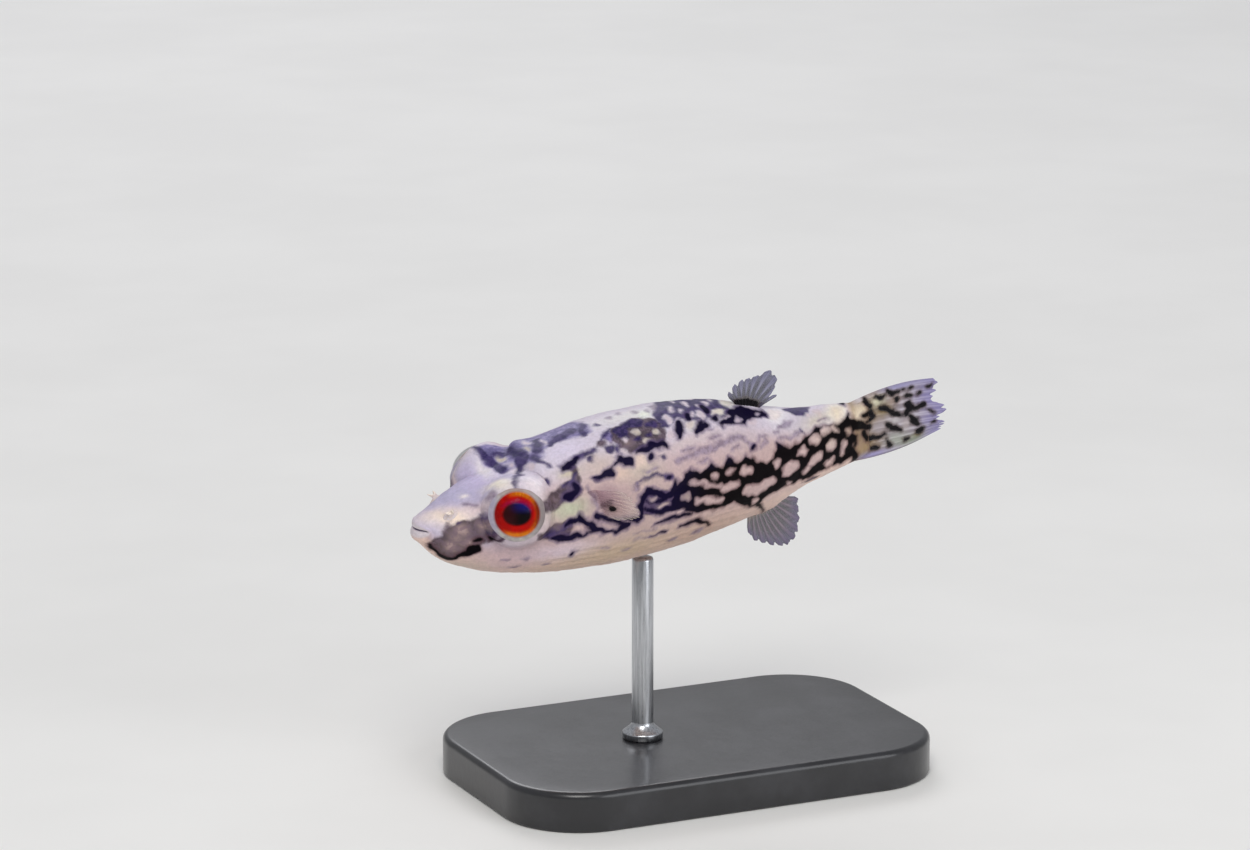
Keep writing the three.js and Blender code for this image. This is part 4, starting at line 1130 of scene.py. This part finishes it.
# ---------------------------------------------------------------- fins
# A fan of rays from start to end of its base, x and z in millimetres; its angles, bends and lengths are
# spread evenly from the first ray to the last. rib is a ray's half width and fork its split, as shares of
# the spacing; ragged scales the free edge's unevenness.
FINS = {
    "dorsal": {
        "start": (25.9, 4.6), "end": (27.9, 3.75), "rays": 9, "angles": (124, 92, 74, 48, 26),
        "bends": (6, -4, -6), "lengths": (1.0, 1.5, 1.95, 2.2, 2.5, 3.1, 2.85, 1.5, 1.95),
        "rib": 0.16, "fork": 0.12, "ragged": 0.5,
    },
    "anal": {
        "start": (26.9, -4.35), "end": (29.0, -3.85), "rays": 11, "angles": (-94, -80, -69, -50, -18),
        "bends": (0, 8, 0), "lengths": (1.8, 2.9, 3.6, 4.2, 4.7, 4.8, 4.3, 3.6, 2.9, 2.2),
        "rib": 0.24, "fork": 0.04, "ragged": 0.5,
    },
    "caudal": {
        "start": (35.9, 2.42), "end": (35.9, -2.68), "rays": 10, "angles": (16, 8, 1, -4, -6),
        "bends": (-14, -4, 12.5), "lengths": (6.9, 7.0, 6.6, 7.3, 7.7, 7.2, 7.6, 7.4, 7.6, 7.3),
        "rib": 0.16, "fork": 0.2, "ragged": 1.4,
    },
    "pectoral": {
        "start": (0, 0.8), "end": (0, -0.8), "rays": 10, "angles": (24, 10, 2, -4, -8),
        "bends": (-4, 0, 4), "lengths": (1.9, 2.5, 3.0, 3.3, 3.5, 3.5, 3.3, 3.0, 2.6, 2.1),
        "rib": 0.18, "fork": 0.16, "ragged": 0.4,
    },
}
# How far a fin's root runs into the flesh
FIN_ROOT = 0.7
# The first seed of the fins' free edges; each further fin takes the next
FIN_SEED = 40
# Shares of a ray's length between which it forks and from which the edge is uneven; the edge's uneven steps
# and the notch between rays in millimetres; how much film and rib thin out by the tip; the root's thickness
# in ribs, the outer rays' thinness and how far in it reaches; and the height of the wave
FAN = {
    "forks": (0.45, 1.0), "edge_from": 0.6, "steps": (-0.34, 0.1), "steps_per_ray": 3, "notch": 0.26,
    "film_thins": 0.5, "rib_thins": 0.75, "root": 3, "root_reach": 0.5, "outer": 0.3, "outer_reach": 0.02,
    "wave": 0.1,
}
# Where a pectoral fin's root lies, how far it is swept back, and how far each side's droops
PECTORAL_PLACE = {"root": (12.35, 4.35, 2.15), "sweep": 40, "droop": {-1: 17, 1: 25}}
# Colours of each fin's film, rays, base and edge, how much of the light the film and the rays stop, and how
# far the base's colour reaches
FIN_LOOKS = {
    "dorsal": {
        "film": (62, 60, 82), "ray": (150, 148, 172), "base": (70, 66, 84), "edge": (108, 106, 138),
        "film_stops": 0.86, "ray_stops": 0.95, "base_stops": 0.97, "base_reach": (0.4, 1.4),
    },
    "anal": {
        "film": (58, 50, 66), "ray": (150, 136, 148), "base": (158, 148, 130), "edge": (92, 84, 130),
        "film_stops": 0.85, "ray_stops": 0.95, "base_stops": 0.999, "base_reach": (0.5, 1.4),
    },
    "caudal": {
        "film": (156, 146, 156), "ray": (198, 190, 200), "base": (156, 132, 98), "edge": (126, 118, 186),
        "film_stops": 0.97, "ray_stops": 0.99, "base_stops": 0.999, "base_reach": (0.8, 3.4),
    },
    "pectoral": {
        "film": (164, 136, 146), "ray": (204, 176, 166), "base": (150, 108, 126), "edge": (214, 204, 196),
        "film_stops": 0.36, "ray_stops": 0.6, "base_stops": 0.5, "base_reach": (0.1, 1.8),
    },
}
# Dark marks and soft washes of colour in a fin's own plane, as those of the flank; the wash of a fin without
# any is clear
CAUDAL_MARKS = {
    "ovals": [
        (39.4, 1.6, 0.2, 0.3), (41.3, 1.7, 0.22, 0.2), (40.6, 2.3, 0.2, 0.14), (41.4, -1.45, 0.38, 0.32),
        (40.2, -1.9, 0.26, 0.18), (37.5, -2.0, 0.42, 0.22), (38.8, -2.05, 0.24, 0.22),
        (42.2, 2.1, 0.3, 0.16), (39.9, 2.4, 0.16, 0.1), (42.5, -1.0, 0.2, 0.1),
    ],
    "strokes": [
        [(35.3, 1.2, 0.3), (35.8, 0.5, 0.36), (36.4, 0.2, 0.38), (37.0, -0.05, 0.28)],
        [(36.6, 2.4, 0.14), (36.9, 1.95, 0.24), (37.15, 1.6, 0.2)],
        [(36.6, 0.95, 0.2), (37.2, 1.1, 0.28), (37.35, 0.6, 0.22), (36.9, 0.4, 0.16)],
        [(37.6, 2.3, 0.12), (38.25, 2.1, 0.2)],
        [(38.6, 2.5, 0.18), (39.0, 2.25, 0.2), (39.6, 2.2, 0.12)],
        [(38.0, 1.35, 0.18), (38.6, 1.0, 0.24), (39.2, 0.5, 0.2), (39.8, 0.2, 0.16)],
        [(40.25, 1.75, 0.22), (40.6, 1.6, 0.14)],
        [(40.4, 1.0, 0.3), (40.5, 0.6, 0.4), (40.3, 0.3, 0.26)],
        [(41.0, 0.55, 0.2), (41.7, 0.6, 0.22)],
        [(38.6, -0.3, 0.2), (39.1, -0.65, 0.24), (39.7, -1.0, 0.15)],
        [(40.55, -0.1, 0.18), (40.9, -0.5, 0.32), (41.2, -0.8, 0.2)],
        [(36.6, -0.4, 0.24), (36.9, -1.0, 0.26), (37.6, -1.15, 0.2), (38.4, -1.0, 0.13)],
        [(35.8, -0.6, 0.3), (35.6, -1.6, 0.3), (35.9, -2.3, 0.26)],
        [(42.2, 0.15, 0.1), (42.55, -0.3, 0.1)],
        [(38.6, -1.5, 0.08), (38.75, -1.9, 0.14)],
    ],
}
CAUDAL_WASHES = [
    (37.8, 1.9, 0.6, 0.5, (226, 222, 194), 0.9), (36.3, 1.2, 0.7, 0.8, (236, 220, 196), 0.9),
    (38.4, 1.0, 0.7, 0.5, (138, 118, 66), 0.9), (37.8, -0.3, 0.9, 0.6, (176, 166, 172), 0.9),
    (36.3, -1.3, 0.5, 0.5, (166, 138, 112), 0.9), (35.5, 0.0, 0.4, 0.4, (160, 130, 92), 0.9),
    (36.3, 2.5, 0.8, 0.5, (190, 182, 190), 0.9), (39.3, -1.6, 0.9, 0.6, (176, 178, 168), 0.8),
    (40.6, -2.1, 1.2, 0.4, (148, 156, 140), 0.8), (37.4, -2.5, 1.4, 0.3, (162, 156, 206), 0.9),
    (39.6, 2.7, 1.8, 0.3, (156, 152, 198), 0.8), (39.2, -0.1, 0.6, 0.3, (210, 204, 206), 0.8),
    (39.2, 1.7, 0.6, 0.5, (176, 152, 140), 0.7), (41.2, -1.7, 0.5, 0.3, (128, 112, 68), 0.7),
    (40.2, -0.6, 0.4, 0.5, (186, 172, 170), 0.7),
]
DORSAL_MARKS = {
    "patches": [
        [(25.9, 4.85), (26.5, 4.95), (27.2, 4.7), (27.85, 4.35), (27.75, 3.5), (26.9, 3.5), (25.9, 4.2)],
    ],
}
PECTORAL_MARKS = {"ovals": [(1.45, -0.15, 0.3, 0.26)]}
FIN_MARKS = {"dorsal": DORSAL_MARKS, "caudal": CAUDAL_MARKS, "pectoral": PECTORAL_MARKS}


def fan_points(fan, seed, film, rib, across=16, rows=48):
    """A fan of rays. A point lies a share t along the ray that leaves the base at a share s, with that ray's
    own angle, bend and length; each ray is a rib that splits in two towards the edge, and the film between
    the rays is cut back a little, unevenly. Returns x and z in the fan's plane, its half thickness, its wave
    to one side and the facts that its finish reads."""
    count = fan["rays"]
    s = np.linspace(0, 1, count * across + 1)[None, :]
    t = np.linspace(0, 1, rows)[:, None]
    angle_at, bend_at, length_at = (
        smooth_curve(np.linspace(0, 1, len(fan[k])), fan[k]) for k in ("angles", "bends", "lengths")
    )
    phase = (s * count - 0.5) % 1.0
    from_ray = np.minimum(phase, 1 - phase)
    split = fan["fork"] * ease(*FAN["forks"], t)
    ray = np.exp(-((np.abs(from_ray - split) / fan["rib"]) ** 2))
    rng = np.random.default_rng(seed)
    knots = np.linspace(0, 1, count * FAN["steps_per_ray"] + 1)
    ragged = np.interp(s[0], knots, rng.uniform(*FAN["steps"], len(knots)))[None, :] * fan["ragged"]
    notch = -FAN["notch"] * ease(0.2, 0.5, from_ray)
    reach = -FIN_ROOT + t * (length_at(s) + FIN_ROOT) + (ragged + notch) * ease(FAN["edge_from"], 1, t)
    angle = np.radians(angle_at(s) + bend_at(s) * t)
    x = mix(fan["start"][0], fan["end"][0], s) + reach * np.cos(angle)
    z = mix(fan["start"][1], fan["end"][1], s) + reach * np.sin(angle)
    thin = film * (1 - FAN["film_thins"] * t) + rib * ray * (1 - FAN["rib_thins"] * t)
    half = mix(thin, FAN["root"] * rib, 1 - ease(-FIN_ROOT, FAN["root_reach"], reach)) / 2
    inward = ease(0, FAN["outer_reach"], s) * ease(0, FAN["outer_reach"], 1 - s)
    half = half * mix(FAN["outer"], 1, inward)
    wave = FAN["wave"] * t ** 2 * np.sin(s * 9 + t * 2 + seed)
    return x, z, half, wave, {"ray": ray + 0 * t, "out": reach, "tip": t + 0 * s}


def fin_nodes_for(kind):
    """Film, rays, base and edge of one fin. Light crosses two sheets, so each stops 1 - sqrt(1 - stop)."""
    looks = FIN_LOOKS[kind]

    def build(tree):
        """The fin's layers, one over the other, and its alpha."""
        ray, out, tip = (attribute(tree, key) for key in ("ray", "out", "tip"))
        flat = attribute(tree, "flat", "Vector")
        soft = noise(tree, flat, 2.6, 3.0, 0.6)
        colour = blend_colours(tree, within(tree, soft, 0.35, 0.65, 0.35), srgb(*looks["film"]),
                               srgb(*[c * 0.72 for c in looks["film"]]))
        colour = blend_colours(tree, ray, colour, srgb(*looks["ray"]))
        edge = maths(tree, "SUBTRACT", 1.0, within(tree, tip, 0.62, 1.0))
        colour = blend_colours(tree, maths(tree, "MULTIPLY", edge, 0.62), colour, srgb(*looks["edge"]))
        uneven = maths(tree, "ADD", out, maths(tree, "MULTIPLY", maths(tree, "SUBTRACT", soft, 0.5), 0.8))
        base = within(tree, uneven, *looks["base_reach"])
        colour = blend_colours(tree, base, colour, srgb(*looks["base"]))
        stops = spread(tree, ray, looks["film_stops"], looks["ray_stops"])
        stops = maths(tree, "MAXIMUM", stops, maths(tree, "MULTIPLY", base, looks["base_stops"]))
        if kind in FIN_MARKS:
            wash = attribute(tree, "wash", "Color")
            washed = attribute(tree, "washed")
            colour = blend_colours(tree, washed, colour, wash)
            waver = maths(tree, "MULTIPLY", maths(tree, "SUBTRACT", soft, 0.5), 0.3)
            field = maths(tree, "ADD", attribute(tree, "spots"), waver)
            colour = blend_colours(tree, within(tree, field, 0.0, 0.26, 0.6), colour, srgb(70, 44, 30))
            dark = within(tree, field, -0.1, 0.1)
            colour = blend_colours(tree, dark, colour, srgb(8, 4, 10))
            stops = maths(tree, "MAXIMUM", stops, maths(tree, "MULTIPLY", dark, 0.9995))
        clear = maths(tree, "SQRT", maths(tree, "SUBTRACT", 1.0, stops))
        relief = maths(tree, "ADD", noise(tree, flat, 9.0, 2.0, 0.5), ray)
        return {"Base Color": colour, "Alpha": maths(tree, "SUBTRACT", 1.0, clear),
                "Normal": bump(tree, relief, 0.01)}

    return build


def fan_paint(kind, x, z):
    """Distance to the fin's dark marks, and its soft washes of colour with their strength."""
    washes = CAUDAL_WASHES if kind == "caudal" else []
    spots = marks(x + 0.05 * np.sin(z * 7), z + 0.05 * np.sin(x * 6), **FIN_MARKS[kind], melt=0.15)
    tint, strength = np.zeros(x.shape + (3,)), np.zeros(x.shape)
    for wx, wz, reach, across, colour, most in washes:
        w = most * np.exp(-(((x - wx) / reach) ** 2 + ((z - wz) / across) ** 2))
        tint += w[..., None] * np.array(srgb(*colour))
        strength += w
    tint = tint / np.maximum(strength, FAINT)[..., None]
    return spots, np.concatenate([tint, np.ones(x.shape + (1,))], 2), np.minimum(strength, 0.95)


def make_fins():
    """Each fin is its fan's two sheets, its middle surface plus and minus the half thickness, joined round
    the edge and closed along both ends; the pectoral fans are turned back and down and set on the flanks."""
    sizes = bpy.context.scene.puffer_sizes
    film, rib = sizes.fin_film / MM, sizes.fin_rib / MM
    finishes = {}
    pieces = [("dorsal", "fin_dorsal", 0), ("anal", "fin_anal", 0), ("caudal", "fin_caudal", 0),
              ("pectoral", "fin_pectoral_left", -1), ("pectoral", "fin_pectoral_right", 1)]
    for seed, (kind, name, side) in enumerate(pieces, FIN_SEED):
        x, z, half, wave, facts = fan_points(FINS[kind], seed, film, rib)
        near, far = np.stack([x, wave - half, z], -1), np.stack([x, wave + half, z], -1)
        ring = np.concatenate([near, far[:, ::-1]], 1)
        if kind == "pectoral":
            root = np.array(PECTORAL_PLACE["root"]) * (1, side, 1)
            turned = turning(2, side * PECTORAL_PLACE["sweep"]) @ turning(1, PECTORAL_PLACE["droop"][side])
            ring = ring @ turned.T + root
        facts["flat"] = np.stack([x, 0 * x, z], -1)
        if kind in FIN_MARKS:
            facts["spots"], facts["wash"], facts["washed"] = fan_paint(kind, x, z)
        values = {key: np.concatenate([grid, grid[:, ::-1]], 1) for key, grid in facts.items()}
        mesh = fill_mesh(name, placed(ring), wrap=True, ends="start end", flat=True, values=values,
                         flip=True)
        if kind not in finishes:
            finishes[kind] = finish(f"fin_{kind}", fin_nodes_for(kind),
                                    **{"Roughness": 0.4, "Specular IOR Level": 0.14})
        add_piece(mesh, finishes[kind], (name,))


# ---------------------------------------------------------------- nostrils
# Its x, its turn from the ridge and its lean back in degrees; the stalk's share of the profile, the foot's
# flare and the top's swelling as shares of the radius, how far it is sunk, the saddle's height between the
# prongs as a share, the top's level and rounding, how far the prongs curl ahead, and the section's two axes
NOSTRIL = {
    "x": 2.4, "turn": 34, "lean": -18, "stalk": 0.7, "flare": 2.2, "swell": 0.25, "sunk": 0.16,
    "saddle": 0.55, "level": 0.62, "round": 0.06, "curl": 0.5, "long": 1.5, "wide": 0.8,
}


def flap_nodes(tree):
    """Cream, with a painted highlight that makes the tips lighter."""
    flesh = tuple(bpy.context.scene.puffer_colours.nostril)
    body = attribute(tree, "body", "Vector")
    soft = noise(tree, body, 6.0, 2.0, 0.5)
    colour = blend_colours(tree, within(tree, soft, 0.4, 0.65), flesh, srgb(214, 198, 194))
    # Painted highlight: lighter cream towards the prongs' tops.
    colour = blend_colours(tree, attribute(tree, "tip"), colour, srgb(244, 230, 214))
    return {"Base Color": colour, "Normal": bump(tree, soft, 0.02)}


def make_nostrils():
    """Each nostril is a short stalk on a soft mound that splits into two blunt prongs, fore and aft: its
    height falls off across the stalk as the square of the sine of the way round, and its top closes over."""
    sizes = bpy.context.scene.puffer_sizes
    tall, slim = sizes.nostril_height / MM, sizes.nostril_radius / MM
    material = finish("nostril_skin", flap_nodes, **{"Roughness": 0.45, "Specular IOR Level": 0.3})
    around = np.linspace(0, 2 * math.pi, 48, endpoint=False)[None, :]
    way = np.linspace(0, 1, 48)[:, None]
    stalk = np.clip(way / NOSTRIL["stalk"], 0, 1)
    cap = np.clip((way - NOSTRIL["stalk"]) / (1 - NOSTRIL["stalk"]), 0, 1)
    flare, swell = NOSTRIL["flare"] * (1 - ease(0, 0.5, stalk)), NOSTRIL["swell"] * ease(0.5, 1, stalk)
    radius = slim * (1 + flare + swell) * np.sqrt(np.maximum(1 - cap ** 2, 0.0025))
    prong = NOSTRIL["saddle"] + (1 - NOSTRIL["saddle"]) * np.cos(around) ** 2
    height = (tall * stalk * mix(1.0, prong, ease(0.35, 1, stalk)) - NOSTRIL["sunk"] * (1 - stalk)
              + NOSTRIL["round"] * np.sin(cap * math.pi / 2))
    height = mix(height, tall * NOSTRIL["level"], ease(0.55, 1, cap))
    lean = math.radians(NOSTRIL["lean"])
    for name, side in SIDES.items():
        turn = side * math.radians(NOSTRIL["turn"])
        foot = body_point(travel_at_x(NOSTRIL["x"]), turn)
        out = np.array([0, math.sin(turn), math.cos(turn)])
        axis = out * math.cos(lean) + np.array([math.sin(lean), 0, 0])
        ahead = np.cross(np.cross(axis, [-1, 0, 0]), axis)
        ahead /= np.linalg.norm(ahead)
        cross = np.cross(axis, ahead)
        curl = NOSTRIL["curl"] * np.maximum(height, 0) ** 2
        along = NOSTRIL["long"] * radius * np.cos(around) + curl
        across = NOSTRIL["wide"] * radius * np.sin(around)
        points = foot + along[..., None] * ahead + across[..., None] * cross + height[..., None] * axis
        # tip sets the painted highlight, stronger higher up the prongs.
        values = {"body": points, "tip": ease(0.2, 0.7, height / tall) * 0.7 + 0 * around}
        mesh = fill_mesh(f"nostril_{name}", placed(points), wrap=True, ends="end", values=values)
        add_piece(mesh, material)


# ---------------------------------------------------------------- stand
# The rod's place on the base, and how fine its round is
ROD_PLACE, ROD_SIDES = (-3.6, 0), 64
# Points along a quarter of the base's outline and of its edge, and the rings that close its flat faces
CORNER_POINTS, EDGE_POINTS, FACE_RINGS = 28, 9, (0.9, 0.6, 0.3, 0.06)
# The base's lower edge is rounded by this share of the upper one
LOWER_EDGE = 0.5


def enamel_nodes(tree):
    """Dark satin enamel, a little uneven in tone and gloss, with a fine peel."""
    dark = tuple(bpy.context.scene.puffer_colours.enamel)
    place = node(tree, "ShaderNodeTexCoord").outputs["Object"]
    peel = noise(tree, place, 1400.0, 2.0, 0.5)
    dust = noise(tree, place, 260.0, 4.0, 0.6)
    colour = blend_colours(tree, within(tree, dust, 0.4, 0.75), dark, srgb(30, 30, 33))
    rough = spread(tree, dust, 0.24, 0.42)
    return {"Base Color": colour, "Roughness": rough, "Normal": bump(tree, peel, 0.012)}


def steel_nodes(tree):
    """Brushed steel: noise drawn out along the rod sets its tone, gloss and fine lines."""
    bright = tuple(bpy.context.scene.puffer_colours.steel)
    place = node(tree, "ShaderNodeTexCoord").outputs["Object"]
    drawn = node(tree, "ShaderNodeMapping", {0: place, 3: (6000, 6000, 260)}).outputs[0]
    lines = noise(tree, drawn, 1.0, 3.0, 0.6)
    colour = blend_colours(tree, within(tree, lines, 0.3, 0.7), bright, srgb(168, 170, 174))
    rough = spread(tree, lines, 0.2, 0.38)
    return {"Base Color": colour, "Roughness": rough, "Normal": bump(tree, lines, 0.004)}


def make_stand():
    """The base is one rounded outline carried up a rounded edge profile, and the rod is a profile turned
    round: its foot narrows to the rod's radius by one less the sine of the share of the way up."""
    sizes = bpy.context.scene.puffer_sizes
    hx, hy, corner = (k / MM for k in (sizes.base_length / 2, sizes.base_width / 2, sizes.base_corner))
    thick, bevel = sizes.base_thick / MM, sizes.base_bevel / MM
    arc = [np.linspace(q * math.pi / 2, (q + 1) * math.pi / 2, CORNER_POINTS) for q in range(4)]
    signs = [(1, 1), (-1, 1), (-1, -1), (1, -1)]
    outline = np.concatenate([
        np.stack([sx * (hx - corner) + corner * np.cos(a), sy * (hy - corner) + corner * np.sin(a)], -1)
        for a, (sx, sy) in zip(arc, signs)
    ])
    outward = np.concatenate([np.stack([np.cos(a), np.sin(a)], -1) for a in arc])
    turn = np.linspace(0, math.pi / 2, EDGE_POINTS)
    lower = bevel * LOWER_EDGE
    inset = np.concatenate([lower * (1 - np.sin(turn)), bevel * (1 - np.cos(turn))])
    level = np.concatenate([lower * (1 - np.cos(turn)), thick - bevel + bevel * np.sin(turn)])
    rim = outline[None] - outward[None] * inset[:, None, None]
    shrink = np.array(FACE_RINGS)[:, None, None]
    rings = np.concatenate([rim[:1] * shrink[::-1], rim, rim[-1:] * shrink])
    levels = np.concatenate([np.zeros(len(FACE_RINGS)), level, np.full(len(FACE_RINGS), thick)])
    points = np.concatenate([rings, levels[:, None, None] + 0 * rings[..., :1]], 2)
    mesh = fill_mesh("stand_base_enamelled", points * MM, wrap=True, ends="start end")
    enamel = finish("satin_enamel", enamel_nodes, **{"Coat Weight": 0.3, "Coat Roughness": 0.12})
    add_piece(mesh, enamel, ("stand_base",))

    foot, radius, wide, tall, top = (k / MM for k in (
        sizes.base_thick, sizes.rod_radius, sizes.collar_radius, sizes.collar_height, sizes.rod_top))
    t = np.linspace(0, 1, 14)
    flare = radius + (wide - radius) * (1 - np.sin(t * math.pi / 2))
    tip = radius * np.array([1, 1, 0.92, 0.7, 0.35])
    reach = np.concatenate([[wide - 0.1, wide, wide], flare, tip])
    height = np.concatenate([[foot, foot + 0.1, foot + 0.45], foot + 0.5 + t * (tall - 0.4),
                             [(foot + top) / 2, top - 0.25, top - 0.1, top - 0.02, top]])
    around = np.linspace(0, 2 * math.pi, ROD_SIDES, endpoint=False)[None, :]
    x, y = ROD_PLACE
    points = np.stack([x + reach[:, None] * np.cos(around), y + reach[:, None] * np.sin(around),
                       height[:, None] + 0 * around], -1)
    mesh = fill_mesh("stand_rod_brushed", points * MM, wrap=True, ends="start end")
    steel = finish("brushed_steel", steel_nodes, **{"Metallic": 1.0})
    add_piece(mesh, steel, ("stand_rod",))


# ---------------------------------------------------------------- stage
# The point of the fish that the camera's shifts start from, in millimetres
CAMERA_AIM = (16.0, 0, 0)
SENSOR_WIDTH, CLIPS = 36, (0.01, 10)
# Metres: the inner ring, where the floor starts to rise, its rim and the rim's height
FLOOR = {"inner": 0.02, "flat": 0.9, "rim": 3.0, "rise": 0.9}
SKY = (0.93, 0.95, 1.0)
# Name and setting, place, diameter and colour of each lamp, and where they point
LAMPS = [("key", (-0.16, -0.30, 0.42), 0.26, (1.0, 0.98, 0.95)),
         ("fill", (0.20, -0.42, 0.20), 0.34, (0.95, 0.97, 1.0)),
         ("rim", (0.10, 0.40, 0.36), 0.30, (0.97, 0.97, 1.0))]
LAMP_AIM = (0, 0, 0.02)


def make_stage():
    """A pale floor that rises far away on all sides by a smooth S of the distance, three soft lamps, an even
    sky, and the camera on a sphere about the fish."""
    studio = bpy.context.scene.puffer_studio
    reach = np.linspace(FLOOR["inner"], FLOOR["rim"], 60)[:, None]
    around = np.linspace(0, 2 * math.pi, 96, endpoint=False)[None, :]
    height = FLOOR["rise"] * ease(FLOOR["flat"], FLOOR["rim"], reach) + 0 * around
    points = np.stack([reach * np.cos(around), reach * np.sin(around), height], -1)
    floor = bpy.data.objects.new("floor", fill_mesh("floor", points, wrap=True, ends="start"))
    bpy.context.scene.collection.objects.link(floor)

    def paper(tree):
        """White, a little uneven."""
        place = node(tree, "ShaderNodeTexCoord").outputs["Object"]
        soft = noise(tree, place, 30.0, 3.0, 0.6)
        colour = blend_colours(tree, within(tree, soft, 0.3, 0.7), tuple(studio.paper), srgb(236, 235, 232))
        return {"Base Color": colour}

    floor.data.materials.append(finish("pale_paper", paper, Roughness=0.8))

    world = bpy.data.worlds.new("studio")
    bpy.context.scene.world = world
    world.use_nodes = True
    world.node_tree.nodes.clear()
    sky = node(world.node_tree, "ShaderNodeBackground", {"Color": (*SKY, 1), "Strength": studio.sky})
    node(world.node_tree, "ShaderNodeOutputWorld", {"Surface": sky.outputs[0]})

    for name, place, size, colour in LAMPS:
        lamp = bpy.data.lights.new(name, "AREA")
        lamp.shape, lamp.size, lamp.energy, lamp.color = "DISK", size, getattr(studio, name), colour
        piece = bpy.data.objects.new(name, lamp)
        piece.location = place
        way = np.array(LAMP_AIM) - np.array(place)
        piece.rotation_euler = Vector(way).to_track_quat("-Z", "Y").to_euler()
        bpy.context.scene.collection.objects.link(piece)

    a, e = studio.azimuth, studio.elevation
    back = np.array([math.sin(a) * math.cos(e), -math.cos(a) * math.cos(e), math.sin(e)])
    right = np.array([math.cos(a), math.sin(a), 0])
    up = np.cross(back, right)
    anchor = placed(np.array(CAMERA_AIM))
    camera = bpy.data.cameras.new("camera")
    camera.lens, camera.sensor_width = studio.lens, SENSOR_WIDTH
    camera.clip_start, camera.clip_end = CLIPS
    eye = bpy.data.objects.new("camera", camera)
    turn = Matrix([[right[i], up[i], back[i]] for i in range(3)])
    spot = anchor + back * studio.distance + right * studio.right + up * studio.up
    eye.matrix_world = Matrix.Translation(spot) @ turn.to_4x4()
    bpy.context.scene.collection.objects.link(eye)
    bpy.context.scene.camera = eye
    bpy.context.scene.view_settings.view_transform = "Standard"


# ---------------------------------------------------------------- operators
class PUFFER_OT_stage(bpy.types.Operator):
    """Pale floor, soft lights and the camera"""
    bl_idname = "puffer.stage"
    bl_label = "Stage"

    def execute(self, context):
        make_stage()
        return {"FINISHED"}


class PUFFER_OT_skin(bpy.types.Operator):
    """The one skin of head, trunk and tail: rings along the body's profiles, with relief and all marks"""
    bl_idname = "puffer.skin"
    bl_label = "Skin"

    def execute(self, context):
        make_skin()
        return {"FINISHED"}


class PUFFER_OT_eyes(bpy.types.Operator):
    """Both eyes: a dished iris in its pale ring, under a clear dome"""
    bl_idname = "puffer.eyes"
    bl_label = "Eyes"

    def execute(self, context):
        make_eyes()
        return {"FINISHED"}


class PUFFER_OT_nostrils(bpy.types.Operator):
    """Both nostrils: short stalks that fork into two prongs"""
    bl_idname = "puffer.nostrils"
    bl_label = "Nostrils"

    def execute(self, context):
        make_nostrils()
        return {"FINISHED"}


class PUFFER_OT_fins(bpy.types.Operator):
    """All five fins: fans of ribs with thin film between them"""
    bl_idname = "puffer.fins"
    bl_label = "Fins"

    def execute(self, context):
        make_fins()
        return {"FINISHED"}


class PUFFER_OT_stand(bpy.types.Operator):
    """The stand's flat base and its rod"""
    bl_idname = "puffer.stand"
    bl_label = "Stand"

    def execute(self, context):
        make_stand()
        return {"FINISHED"}


OPERATORS = [PUFFER_OT_stage, PUFFER_OT_skin, PUFFER_OT_eyes, PUFFER_OT_nostrils, PUFFER_OT_fins,
             PUFFER_OT_stand]
GROUPS = {"puffer_sizes": PufferSizes, "puffer_colours": PufferColours, "puffer_studio": PufferStudio}


class PUFFER_PT_panel(bpy.types.Panel):
    """A button for each operator, then every setting"""
    bl_label = "Pufferfish"
    bl_idname = "PUFFER_PT_panel"
    bl_space_type = "VIEW_3D"
    bl_region_type = "UI"
    bl_category = "Pufferfish"

    def draw(self, context):
        for made in OPERATORS:
            self.layout.operator(made.bl_idname)
        for name, kind in GROUPS.items():
            for key in kind.__annotations__:
                self.layout.prop(getattr(context.scene, name), key)


CLASSES = [*GROUPS.values(), *OPERATORS, PUFFER_PT_panel]


def register():
    """Adds the classes, and the groups of settings to the scene."""
    for made in CLASSES:
        bpy.utils.register_class(made)
    for name, kind in GROUPS.items():
        setattr(bpy.types.Scene, name, PointerProperty(type=kind))


def unregister():
    """Takes them away again."""
    for name in GROUPS:
        delattr(bpy.types.Scene, name)
    for made in reversed(CLASSES):
        bpy.utils.unregister_class(made)


def main():
    """Makes every piece."""
    register()
    bpy.ops.puffer.stage()
    bpy.ops.puffer.skin()
    bpy.ops.puffer.eyes()
    bpy.ops.puffer.nostrils()
    bpy.ops.puffer.fins()
    bpy.ops.puffer.stand()


if __name__ == "__main__":
    main()
